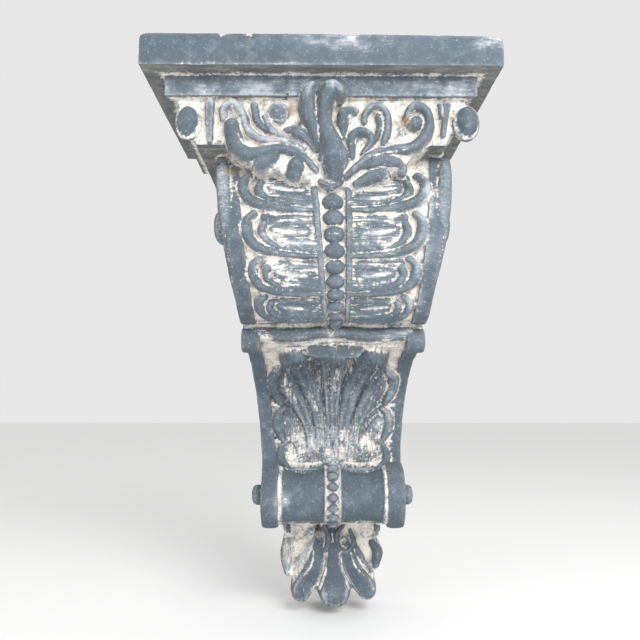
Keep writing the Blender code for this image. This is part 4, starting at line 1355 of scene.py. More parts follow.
@dataclass
class HangingLeaf:
    """The leaf that hangs below the foot roll, lobed and ribbed, with two small curls."""

    steps: tuple[int, int] = (190, 190)
    outline: Path = (
        (-0.98, 0.1), (-1.0, 0.33), (-0.93, 0.45), (-0.94, 0.56), (-0.85, 0.73), (-0.76, 0.85),
        (-0.54, 0.93), (-0.36, 0.89), (-0.13, 0.99), (0.19, 0.99), (0.45, 0.89), (0.65, 0.92),
        (0.88, 0.82), (0.91, 0.71), (0.98, 0.54), (0.95, 0.42), (1.0, 0.32), (0.98, 0.1),
    )
    strokes: tuple[Stroke, ...] = (
        Stroke(((-0.9, 0.28), (-0.87, 0.39)), (6, 5), (6.5, 5.5), paint=0.9),
        Stroke(((0.9, 0.28), (0.95, 0.37)), (6, 5), (6.5, 5.5), paint=0.8),
        Stroke(((-0.9, 0.45), (-0.62, 0.45), (-0.42, 0.36)), (2.6, 3, 2.6), (5, 5.5, 5), paint=0.4),
        Stroke(((0.5, 0.37), (0.68, 0.44), (0.96, 0.42)), (2.4, 2.6, 2.4), (5, 5, 4.5), paint=0.3),
        Stroke(((-0.9, 0.47), (-0.93, 0.6), (-0.86, 0.74)), (5.5, 7.2, 6.6), (9, 12, 13), paint=0.7),
        Stroke(((-0.34, 0.46), (-0.47, 0.57), (-0.62, 0.67), (-0.76, 0.745)), (4.6, 8, 10.4, 9),
            (8.5, 11, 13, 14), Section.VEINED, paint=0.45),
        Stroke(((0.41, 0.46), (0.51, 0.57), (0.63, 0.66), (0.77, 0.72)), (4.6, 7.4, 8.8, 7),
            (8.5, 11, 12.5, 12), Section.VEINED, paint=0.9),
        Stroke(((0.86, 0.49), (0.96, 0.57), (0.92, 0.68)), (5, 7, 5.8), (8.5, 12, 11)),
        Stroke(((-0.25, 0.48), (-0.31, 0.63), (-0.44, 0.76), (-0.62, 0.89)), (7, 11.4, 13.4, 12.4),
            (9.5, 12.5, 18, 27), Section.FLAT),
        Stroke(((0.29, 0.48), (0.37, 0.63), (0.51, 0.75), (0.73, 0.875)), (7, 11.4, 13.2, 12),
            (9.5, 12.5, 18, 27), Section.FLAT),
        Stroke(((0.035, 0.38), (0.04, 0.46)), (4.6, 4.2), (9, 9.5), paint=0.8),
        Stroke(((0.04, 0.52), (0.045, 0.6), (0.055, 0.7), (0.06, 0.8), (0.06, 0.875)),
            (7.6, 9, 11, 16.5, 20), (12, 13.5, 17, 27, 35), Section.FLAT),
        Stroke(((0.27, 0.44), (0.28, 0.45)), (3.4, 3.4), (13, 13)),
        Stroke(((0.24, 0.34), (0.12, 0.41), (0.15, 0.52), (0.32, 0.555), (0.46, 0.48), (0.4, 0.38)),
            (3.6, 4.8, 5.4, 5.2, 4, 2.8), (12, 14, 15, 15, 13, 11)),
        Stroke(((-0.12, 0.34), (-0.05, 0.44), (-0.1, 0.54), (-0.25, 0.555)), (3.6, 4.8, 5.2, 4),
            (12, 14, 14, 11)),
    )
    cuts: tuple[Stroke, ...] = (
        cut(((-0.27, 0.34), (-0.25, 0.44)), (5, 5), (6, 6), 0.5),
        cut(((0.28, 0.43), (0.27, 0.47)), (2.4, 2.4), (4, 4), 0.2),
        cut(((-0.13, 0.54), (-0.12, 0.72), (-0.26, 0.9)), (1.5, 1.6, 1.4), (3.4, 4, 3.4), 0.6),
        cut(((0.19, 0.54), (0.24, 0.72), (0.38, 0.88)), (1.5, 1.6, 1.4), (3.4, 4, 3.4), 0.6),
        cut(((-0.35, 0.56), (-0.42, 0.68), (-0.6, 0.76)), (1.1, 1.2, 1), (2.2, 2.6, 2), 0.2),
        cut(((0.4, 0.56), (0.5, 0.68), (0.68, 0.75)), (1.1, 1.2, 1), (2.2, 2.6, 2), 0.2),
        cut(((-0.56, 0.84), (-0.57, 0.95)), (1.1, 1.1), (1.2, 1.6), 0.9),
        cut(((-0.05, 0.86), (-0.06, 0.98)), (1.1, 1.1), (1.2, 1.6), 0.9),
        cut(((0.17, 0.86), (0.18, 0.98)), (1.1, 1.1), (1.2, 1.6), 0.9),
    )
    ridges: tuple[tuple[Path, Run], ...] = (
        (((-0.1, 0.53), (-0.11, 0.64), (-0.13, 0.72), (-0.2, 0.79), (-0.27, 0.85)),
         (12.6, 13.8, 16.6, 23.0, 28.0)),
        (((0.16, 0.53), (0.18, 0.64), (0.22, 0.72), (0.31, 0.79), (0.38, 0.85)),
         (12.6, 13.8, 16.6, 23.0, 28.0)),
        (((-0.35, 0.53), (-0.39, 0.66), (-0.48, 0.74), (-0.62, 0.8)), (9.6, 12.4, 16.4, 21.0)),
        (((-0.16, 0.53), (-0.19, 0.68), (-0.28, 0.8), (-0.4, 0.88)), (9.6, 12.6, 18.0, 24.0)),
        (((0.22, 0.53), (0.27, 0.68), (0.4, 0.8), (0.52, 0.87)), (9.6, 12.6, 18.0, 24.0)),
        (((0.4, 0.53), (0.48, 0.65), (0.6, 0.73), (0.76, 0.79)), (9.6, 12.4, 16.4, 21.0)),
    )
    ridge_halves: Run = (1.0, 1.4, 1.5, 1.4)
    ground_paint: float = 0.15
    rises: Pair = (5.0, 3.0)
    shoulder: float = 5.0
    line: float = 0.6

    def model(self, clay: Clay) -> None:
        """Carves the leaf and lays it.

        Args:
            clay: The clay to lay it into.
        """
        ground = LeafGround()
        relief = Relief(ground, (-1.14, 1.14), (0.05, 1.1), self.steps, self.ground_paint)
        relief.panel(self.outline, self.rises, self.shoulder, self.ground_paint)
        for stroke in self.strokes:
            relief.draw(replace(stroke, line=self.line))
        for stroke in self.cuts:
            relief.draw(stroke)
        for path, rises in self.ridges:
            relief.draw(Stroke(path, self.ridge_halves, rises, paint=0.0))
        depth = -ground.place(relief.shares, 0.0)[..., 1]
        relief.lay(clay, depth, everywhere=False)


def new_mesh(name: str, points: Array, faces: Array) -> bpy.types.Mesh:
    """A mesh from rows of points and rows of equal faces.

    Args:
        name: The mesh's name.
        points: Its points.
        faces: Its faces, all with as many corners.

    Returns:
        The mesh.
    """
    mesh = bpy.data.meshes.new(name)
    corners = faces.shape[1]
    mesh.vertices.add(len(points))
    mesh.vertices.foreach_set("co", points.astype(np.float32).ravel())
    mesh.loops.add(faces.size)
    mesh.loops.foreach_set("vertex_index", faces.astype(np.int32).ravel())
    mesh.polygons.add(len(faces))
    mesh.polygons.foreach_set("loop_start", np.arange(0, faces.size, corners, dtype=np.int32))
    mesh.update(calc_edges=True)
    mesh.validate()
    return mesh


def evaluated(mesh: bpy.types.Mesh, prepare: Callable[[bpy.types.Object], None]) -> bpy.types.Mesh:
    """The mesh after modifiers.

    Args:
        mesh: The mesh to start from, which is removed.
        prepare: Adds the modifiers to the object that carries the mesh.

    Returns:
        The new mesh.
    """
    carrier = bpy.data.objects.new("carrier", mesh)
    bpy.context.scene.collection.objects.link(carrier)
    prepare(carrier)
    graph = bpy.context.evaluated_depsgraph_get()
    made = bpy.data.meshes.new_from_object(carrier.evaluated_get(graph))
    bpy.data.objects.remove(carrier)
    bpy.data.meshes.remove(mesh)
    return made


def points_of(mesh: bpy.types.Mesh) -> Array:
    """The mesh's points.

    Args:
        mesh: The mesh.

    Returns:
        The points as rows.
    """
    points = np.empty(len(mesh.vertices) * 3, np.float32)
    mesh.vertices.foreach_get("co", points)
    return points.reshape(-1, 3).astype(np.float64)


class Surface:
    """The fused casting's surface, with the tools that wear it and measure it."""

    def __init__(self, mesh: bpy.types.Mesh) -> None:
        """Reads the mesh's points, faces and edges.

        Args:
            mesh: A mesh of four-sided faces.
        """
        self.points = points_of(mesh)
        faces = np.empty(len(mesh.loops), np.int32)
        mesh.loops.foreach_get("vertex_index", faces)
        self.faces = faces.reshape(-1, 4)
        edges = np.empty(len(mesh.edges) * 2, np.int32)
        mesh.edges.foreach_get("vertices", edges)
        self.edges = edges.reshape(-1, 2)
        self.degree = np.bincount(self.edges.ravel(), minlength=len(self.points)).astype(float)

    def spread(self, values: Array, rounds: int) -> Array:
        """Values after this many rounds of sharing with their neighbours.

        Args:
            values: One value or row for each point.
            rounds: How many rounds to run.

        Returns:
            The smoothed values.
        """
        one, two = self.edges.T
        count = len(self.points)
        flat = values.reshape(count, -1).copy()
        for _ in range(rounds):
            for column in range(flat.shape[1]):
                held = flat[:, column]
                total = np.bincount(one, held[two], count) + np.bincount(two, held[one], count)
                flat[:, column] = 0.5 * held + 0.5 * total / self.degree
        return flat.reshape(values.shape)

    def normals(self) -> Array:
        """The outward direction at each point.

        Returns:
            Rows of length one.
        """
        corner = self.points[self.faces]
        across = np.cross(corner[:, 2] - corner[:, 0], corner[:, 3] - corner[:, 1])
        count = len(self.points)
        total = np.stack(
            [
                sum(np.bincount(self.faces[:, turn], across[:, axis], count) for turn in range(4))
                for axis in range(3)
            ],
            -1,
        )
        return total / (np.linalg.norm(total, axis=1, keepdims=True) + 1e-12)


@dataclass(frozen=True)
class Patch:
    """A place that is marked on the front: its middle, its reach and its strength."""

    across: float
    height: float
    wide: float
    tall: float
    strength: float = 1.0

    def over(self, points: Array) -> Array:
        """How strongly the patch marks each point.

        Args:
            points: Rows of places.

        Returns:
            One share for each point.
        """
        beside, beyond = (points[:, 0] - self.across) / self.wide, (points[:, 2] - self.height) / self.tall
        return self.strength * np.exp(-(beside**2 + beyond**2))


def patches(*rows: tuple[float, float, float, float, float]) -> tuple[Patch, ...]:
    """Patches from rows of their fields."""
    return tuple(Patch(*row) for row in rows)


@dataclass(frozen=True)
class Chip:
    """A chip broken off an edge: its middle, its reach and how deep it bites."""

    middle: tuple[float, float, float]
    reach: float
    bite: float


@dataclass
class Casting:
    """The whole casting: fused, worn, masked for its paint and thinned to its final mesh."""

    voxel: float = 1.1 * MM
    limit: int = 196000
    sag: float = 2.2 * MM
    chips: tuple[Chip, ...] = (
        Chip((0.181, -0.251, 0.302), 0.012, 0.003),
        Chip((-0.181, -0.251, 0.301), 0.008, 0.003),
        Chip((-0.098, -0.2515, 0.301), 0.007, 0.0016),
        Chip((-0.072, -0.2515, 0.3005), 0.006, 0.0014),
        Chip((0.03, -0.2515, 0.3005), 0.01, 0.0016),
        Chip((0.182, -0.251, 0.267), 0.006, 0.0022),
        Chip((-0.12, -0.2515, 0.2665), 0.01, 0.0012),
        Chip((0.181, -0.12, 0.301), 0.01, 0.0022),
        Chip((-0.181, -0.09, 0.301), 0.009, 0.002),
    )
    stains: tuple[Patch, ...] = patches(
        (-0.033, 0.236, 0.006, 0.009, 1.0), (0.03, 0.25, 0.01, 0.004, 0.7),
        (0.084, 0.219, 0.009, 0.009, 1.2), (-0.095, 0.178, 0.012, 0.01, 0.7),
        (0.013, 0.16, 0.008, 0.004, 0.7), (-0.03, -0.215, 0.03, 0.016, 0.6),
        (0.06, -0.205, 0.018, 0.01, 0.4), (-0.07, 0.125, 0.008, 0.018, 0.25),
    )
    bares: tuple[Patch, ...] = patches(
        (-0.002, -0.045, 0.004, 0.028, 0.5), (0.019, -0.035, 0.005, 0.02, 0.45),
        (-0.036, -0.05, 0.008, 0.016, 0.35), (-0.062, 0.006, 0.012, 0.01, 0.5),
        (0.07, 0.002, 0.012, 0.008, 0.45), (0.03, -0.116, 0.046, 0.018, 0.74),
        (-0.034, -0.118, 0.022, 0.016, 0.5), (-0.045, 0.085, 0.03, 0.04, 0.28),
        (-0.05, 0.066, 0.028, 0.014, 0.42), (0.065, 0.1, 0.028, 0.04, 0.38),
        (0.07, 0.15, 0.026, 0.016, 0.22), (-0.04, 0.155, 0.026, 0.012, 0.2),
        (-0.01, -0.055, 0.04, 0.025, 0.12), (-0.034, -0.235, 0.014, 0.02, 0.6),
        (0.05, -0.215, 0.018, 0.014, 0.25), (-0.098, 0.3, 0.007, 0.0035, 1.2),
        (-0.072, 0.3, 0.006, 0.0035, 1.2), (0.03, 0.3, 0.01, 0.003, 0.9),
        (-0.178, 0.2985, 0.006, 0.004, 0.7), (-0.0145, -0.01, 0.005, 0.006, 0.8),
        (0.036, -0.019, 0.005, 0.008, 0.8), (-0.038, -0.168, 0.009, 0.007, 0.28),
        (-0.035, -0.263, 0.006, 0.006, 0.55), (0.05, -0.258, 0.006, 0.006, 0.55),
        (-0.135, 0.2672, 0.026, 0.0014, 0.8), (0.176, 0.296, 0.01, 0.005, 0.8),
        (0.02, 0.296, 0.04, 0.003, 0.35), (-0.02, 0.247, 0.012, 0.01, 0.25),
        (0.084, 0.185, 0.012, 0.01, 0.25),
    )
    # Small holes on the front, not carved but painted near-black as painted shade
    pits: tuple[Patch, ...] = patches(
        (-0.036, 0.247, 0.004, 0.003, 1.0), (-0.142, 0.241, 0.003, 0.003, 1.0),
        (-0.058, 0.187, 0.003, 0.002, 1.0), (-0.108, 0.186, 0.004, 0.004, 0.9),
        (0.077, 0.223, 0.004, 0.007, 0.9), (0.104, 0.247, 0.004, 0.002, 0.8),
        (-0.002, -0.214, 0.005, 0.008, 0.9),
    )
    # Rubbed, paler places; the three down the right rim are a painted highlight, where the light falls on
    # that rim
    rubs_and_rim_highlight: tuple[Patch, ...] = patches(
        (0.02, 0.291, 0.055, 0.009, 0.9), (-0.075, 0.288, 0.02, 0.005, 0.5),
        (0.165, 0.29, 0.016, 0.01, 0.8), (-0.06, 0.256, 0.12, 0.012, 0.95),
        (0.12, 0.256, 0.06, 0.01, 0.8), (0.11, 0.13, 0.01, 0.05, 0.75),
        (0.098, 0.04, 0.012, 0.04, 0.6), (0.083, -0.06, 0.01, 0.05, 0.45),
        (-0.105, 0.16, 0.01, 0.025, 0.2), (0.013, -0.115, 0.045, 0.02, 0.9),
        (-0.03, 0.1, 0.035, 0.06, 0.35), (0.06, 0.095, 0.03, 0.06, 0.3),
        (-0.03, -0.245, 0.014, 0.014, 0.8), (0.013, -0.06, 0.05, 0.02, 0.45),
        (-0.038, -0.168, 0.014, 0.012, 0.8), (0.028, -0.172, 0.014, 0.01, 0.45),
        (0.001, -0.285, 0.01, 0.008, 0.6), (-0.12, 0.185, 0.004, 0.08, 0.4),
    )

    def fuse(self, clay: Clay) -> tuple[Surface, Array]:
        """Fuses the clay into one closed surface.

        Args:
            clay: The laid clay.

        Returns:
            The surface, and the paint at each of its points.
        """
        points = np.concatenate(clay.points)
        rough = new_mesh("clay", points, np.concatenate(clay.faces))

        def remesh(carrier: bpy.types.Object) -> None:
            """Adds the voxel remesh.

            Args:
                carrier: The object to add it to.
            """
            fusing = carrier.modifiers.new("Fuse", "REMESH")
            fusing.mode = "VOXEL"
            fusing.voxel_size = self.voxel

        surface = Surface(evaluated(rough, remesh))
        paints = np.concatenate(clay.paints)
        faces = np.concatenate(clay.faces)
        tree = BVHTree.FromPolygons(points.tolist(), faces.tolist(), all_triangles=True)
        places = surface.points.tolist()
        owner = np.fromiter((tree.find_nearest(place)[2] for place in places), int, len(places))
        return surface, surface.spread(paints[faces[owner]].mean(1), 2)

    def wear(self, surface: Surface) -> None:
        """Softens, chips and roughens the surface, and keeps its wall face flat.

        Args:
            surface: The fused surface, which is changed.
        """
        surface.points = surface.spread(surface.points, 1)
        points = surface.points
        normals = surface.normals()
        lumps, grain = Noise(7), Noise(11)
        sharp = surface.spread(points, 6)
        edge = held(((points - sharp) * normals).sum(1) / (0.5 * MM))
        gnaw = held(lumps.at(points, 9 * MM) + 0.6 * grain.at(points, 3.5 * MM) - 0.25)
        lift = 0.3 * MM * lumps.at(points, 16 * MM) + 0.16 * MM * grain.at(points, 5 * MM)
        lift += 0.07 * MM * lumps.at(points, 2.4 * MM)
        lift -= edge * gnaw * 1.2 * MM
        for chip in self.chips:
            far = np.linalg.norm(points - np.array(chip.middle), axis=1) / chip.reach
            broken = held(1 - far**2) * (0.75 + 0.5 * grain.at(points, 3 * MM))
            inward = np.array([chip.middle[0] * 0.8, -0.15, 0.24]) - np.array(chip.middle)
            points = points + held(broken)[:, None] * inward / np.linalg.norm(inward) * chip.bite
        at_wall = points[:, 1] > -1.6 * MM
        lift[at_wall] = 0
        surface.points = points + normals * lift[:, None]
        top = (points[:, 2] > FORM.shelf_top - 8 * MM) & (points[:, 1] < -0.05)
        sag = held((points[:, 0] + 0.02) / 0.2) ** 1.5 * held(-(points[:, 1] + 0.05) / 0.2)
        share = held((points[top, 2] - FORM.shelf_top + 8 * MM) / (8 * MM))
        surface.points[top, 2] -= (sag * self.sag)[top] * share
        surface.points[at_wall, 1] = np.minimum(surface.points[at_wall, 1], 0)
        surface.points[points[:, 1] > -0.9 * MM, 1] = 0.0

    def ledges(self, points: Array) -> Array:
        """How near each point is to the cream lines under the shelf and under the fascia.

        Args:
            points: Rows of places.

        Returns:
            A share for each point, 1 on a line.
        """
        across, depth, height = np.abs(points[:, 0]), -points[:, 1], points[:, 2]
        made = np.zeros(len(points))
        for floor, wide, deep, reach in (
            (FORM.shelf_floor, FORM.fascia_half, FORM.fascia_depth, 11 * MM),
            (FORM.fascia_floor, FORM.frieze_half, FORM.frieze_depth, 8 * MM),
        ):
            out = np.maximum(depth - deep, across - wide)
            near = (np.abs(height - floor) < 3 * MM) & (out > -4 * MM)
            made = np.maximum(made, near * np.exp(-((np.maximum(out, 0) / reach) ** 2) * 2.2))
        return made

    def masks(self, surface: Surface, paint: Array) -> dict[str, Array]:
        """The masks that the paint follows.

        Args:
            surface: The worn surface.
            paint: The paint at each point, 1 for slate and 0 for cream.

        Returns:
            One array of shares for each mask's name.
        """
        points, normals = surface.points, surface.normals()
        near = surface.spread(points, 5)
        middle = surface.spread(near, 20)
        wide = surface.spread(middle, 70)
        fine = ((near - points) * normals).sum(1) / MM
        broad = ((middle - points) * normals).sum(1) / MM
        deep = ((wide - points) * normals).sum(1) / MM
        blotch, speck = Noise(3), Noise(5)
        patchy = blotch.at(points, 14 * MM) * 0.6 + speck.at(points, 5 * MM) * 0.4
        hollow = held((fine - 0.05) / 0.22) * 0.8
        hollow = hollow + held(broad / 1.0) * 0.35 + held(deep / 3.2) * 0.15
        ridge = held(-fine / 0.2) * 0.5 + held(-broad / 1.1) * 0.5
        carved = np.clip((FORM.fascia_floor + 2 * MM - points[:, 2]) / (4 * MM), 0.25, 1)
        below = points[:, 2] < FORM.shelf_floor - 1 * MM
        flat_side = held((np.abs(normals[:, 0]) - 0.75) / 0.2) * below
        back = held((normals[:, 1] - 0.8) / 0.15)
        under = held((-normals[:, 2] - 0.75) / 0.2) * (points[:, 2] > FORM.soffit - 6 * MM)
        ledge = self.ledges(points) * held(under + 0.3)
        plain = held(np.maximum(np.maximum(flat_side, under), back) - ledge)
        # The upper part of the palmette, where painted shade replaces the cream in its grooves
        fan = held((points[:, 2] + 0.15) / 0.01) * held((-0.004 - points[:, 2]) / 0.01)
        fan = fan * held((0.066 - np.abs(points[:, 0])) / 0.01)
        hollow = hollow * (1 - 0.55 * fan)
        thin = held((0.97 - paint) / 0.1) * held((paint - 0.4) / 0.2) * (1 - plain)
        cream = (1 - paint) * 0.78 + hollow * 0.72 * carved - ridge * 0.4 + patchy * 0.22
        front = points[:, 1] < -0.03
        on_slab = points[:, 2] > FORM.shelf_floor + 2 * MM
        front = front * (1 - on_slab * held((points[:, 1] + FORM.shelf_depth - 4 * MM) / (5 * MM)))
        bare = sum(patch.over(points) for patch in self.bares) * front * (0.8 + 0.5 * patchy)
        cream = cream + bare * (1 - 0.75 * hollow * fan)
        cream = np.maximum(cream * (1 - 0.65 * plain) * (1 - back), ledge * (0.75 + 0.4 * patchy))
        cream = held(cream)
        # Rubbed wear and a painted highlight down the right rim
        rub_and_rim_highlight = sum(patch.over(points) for patch in self.rubs_and_rim_highlight) * front
        rub_and_rim_highlight = held(rub_and_rim_highlight * (0.6 + 0.8 * patchy) + ridge * 0.42 + np.clip(1 - paint, 0, 0.5) * 0.9)
        rub_and_rim_highlight = rub_and_rim_highlight * (1 - plain)
        pits = held(sum(patch.over(points) for patch in self.pits) * front)
        # Painted shade: the deepest crevices below the shelf darken in blotches, as do the painted holes
        deep_crevice_shade = held(fine / 0.45 - 0.8) * (blotch.at(points, 20 * MM) > 0.0) * below
        pit_and_crevice_shade = held(pits + deep_crevice_shade * 0.5)
        stain = held(sum(patch.over(points) for patch in self.stains) * front)
        stain = held(stain * (0.7 + 0.6 * patchy) + held(broad / 1.5) * 0.25 * (patchy > 0.15))
        # Painted shade: the narrowest creases below the shelf get near-black slate, more strongly over the
        # palmette
        painted_crease_shade = held((fine - 0.13 + 0.05 * fan) / 0.14) * (points[:, 2] < FORM.shelf_floor)
        painted_crease_shade = held(painted_crease_shade * (0.55 + 0.35 * fan) * (0.75 + 0.8 * patchy))
        return {
            "cream": cream,
            "rub_and_rim_highlight": rub_and_rim_highlight,
            "pit_and_crevice_shade": pit_and_crevice_shade,
            "stain": stain,
            "plain": plain,
            "painted_crease_shade": painted_crease_shade,
            "thin": thin,
            "back": back,
        }

    def thin(self, surface: Surface, masks: dict[str, Array]) -> bpy.types.Mesh:
        """The final mesh, thinned where the surface is plain, with the masks on its points.

        Args:
            surface: The worn surface.
            masks: The masks at its points.

        Returns:
            The mesh.
        """
        full = new_mesh("casting", surface.points, surface.faces)

        def collapse(carrier: bpy.types.Object) -> None:
            """Adds the collapse to the wanted number of triangles.

            Args:
                carrier: The object to add it to.
            """
            thinning = carrier.modifiers.new("Thin", "DECIMATE")
            thinning.ratio = min(1.0, self.limit / (2 * len(surface.faces)))

        mesh = evaluated(full, collapse)
        tree = KDTree(len(surface.points))
        for number, point in enumerate(surface.points.tolist()):
            tree.insert(point, number)
        tree.balance()
        final = points_of(mesh)
        owner = np.fromiter((tree.find(point)[1] for point in final.tolist()), int, len(final))
        for name, values in masks.items():
            layer = mesh.attributes.new(name, "FLOAT", "POINT")
            layer.data.foreach_set("value", surface.spread(values, 1)[owner].astype(np.float32))
        mesh.polygons.foreach_set("use_smooth", np.ones(len(mesh.polygons), bool))
        return mesh

    def make(self, clay: Clay) -> bpy.types.Object:
        """The finished casting as one object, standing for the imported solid.

        Args:
            clay: The laid clay.

        Returns:
            The object.
        """
        surface, paint = self.fuse(clay)
        LOG.info("fused: %d points", len(surface.points))
        self.wear(surface)
        mesh = self.thin(surface, self.masks(surface, paint))
        mesh.calc_loop_triangles()
        LOG.info("thinned: %d triangles", len(mesh.loop_triangles))
        casting = bpy.data.objects.new("corbel_casting", mesh)
        bpy.context.scene.collection.objects.link(casting)
        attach(casting, "root")
        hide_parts("corbel")
        return casting


Socket = bpy.types.NodeSocket


class Graph:
    """Short ways to add nodes to a material."""

    def __init__(self, material: bpy.types.Material) -> None:
        """Starts from an empty node tree.

        Args:
            material: The material that the nodes go into.
        """
        material.use_nodes = True
        self.nodes = material.node_tree.nodes
        self.links = material.node_tree.links
        self.nodes.clear()

    def node(self, kind: str, **inputs: object) -> bpy.types.Node:
        """Adds a node.

        Args:
            kind: The node's type.
            inputs: A value or another node's socket for each named input.

        Returns:
            The node.
        """
        made = self.nodes.new(kind)
        for name, value in inputs.items():
            self.feed(made.inputs[name.replace("_", " ")], value)
        return made

    def feed(self, socket: Socket, value: object) -> None:
        """Sets a socket from a value, or links it to another socket.

        Args:
            socket: The socket to feed.
            value: The value or the other socket.
        """
        if isinstance(value, Socket):
            self.links.new(value, socket)
        else:
            socket.default_value = value

    def mask(self, name: str) -> Socket:
        """Adds a reading of one of the mesh's masks.

        Args:
            name: The mask's name.

        Returns:
            The socket with its value.
        """
        made = self.nodes.new("ShaderNodeAttribute")
        made.attribute_name = name
        return made.outputs["Fac"]

    def maths(self, operation: str, *values: object) -> Socket:
        """Adds a sum on numbers or sockets.

        Args:
            operation: The kind of sum.
            values: Its numbers or sockets.

        Returns:
            The socket with its result.
        """
        made = self.nodes.new("ShaderNodeMath")
        made.operation = operation
        for index, value in enumerate(values):
            self.feed(made.inputs[index], value)
        return made.outputs[0]

    def total(self, *terms: tuple[object, object]) -> Socket:
        """Adds a sum of values.

        Args:
            terms: Pairs of a value and its weight.

        Returns:
            The socket with its result.
        """
        made = self.maths("MULTIPLY", *terms[0])
        for term in terms[1:]:
            made = self.maths("ADD", made, self.maths("MULTIPLY", *term))
        return made

    def ramp(self, value: Socket, low: float, high: float) -> Socket:
        """Adds a smooth step.

        Args:
            value: The value to step.
            low: Where the step starts from 0.
            high: Where it reaches 1.

        Returns:
            The socket with its result.
        """
        made = self.nodes.new("ShaderNodeMapRange")
        made.interpolation_type = "SMOOTHSTEP"
        self.feed(made.inputs["Value"], value)
        made.inputs["From Min"].default_value = low
        made.inputs["From Max"].default_value = high
        return made.outputs["Result"]

    def mix(self, share: object, first: object, second: object) -> Socket:
        """Adds a mix of two colours.

        Args:
            share: How much of the second colour there is.
            first: The first colour.
            second: The second colour.

        Returns:
            The socket with the mix.
        """
        made = self.nodes.new("ShaderNodeMix")
        made.data_type = "RGBA"
        self.feed(made.inputs[0], share)
        self.feed(made.inputs[6], first)
        self.feed(made.inputs[7], second)
        return made.outputs[2]

    def noise(
        self, place: Socket, scale: float, detail: float = 4.0, rough: float = 0.6
    ) -> Socket:
        """Adds fractal noise around one half.

        Args:
            place: The places that it is read at.
            scale: How many features there are to a metre.
            detail: How many finer layers it has.
            rough: How strong each finer layer is.

        Returns:
            The socket with the noise.
        """
        made = self.node("ShaderNodeTexNoise", Vector=place, Scale=scale, Detail=detail, Roughness=rough)
        return made.outputs["Fac"]


Colour = tuple[float, float, float, float]


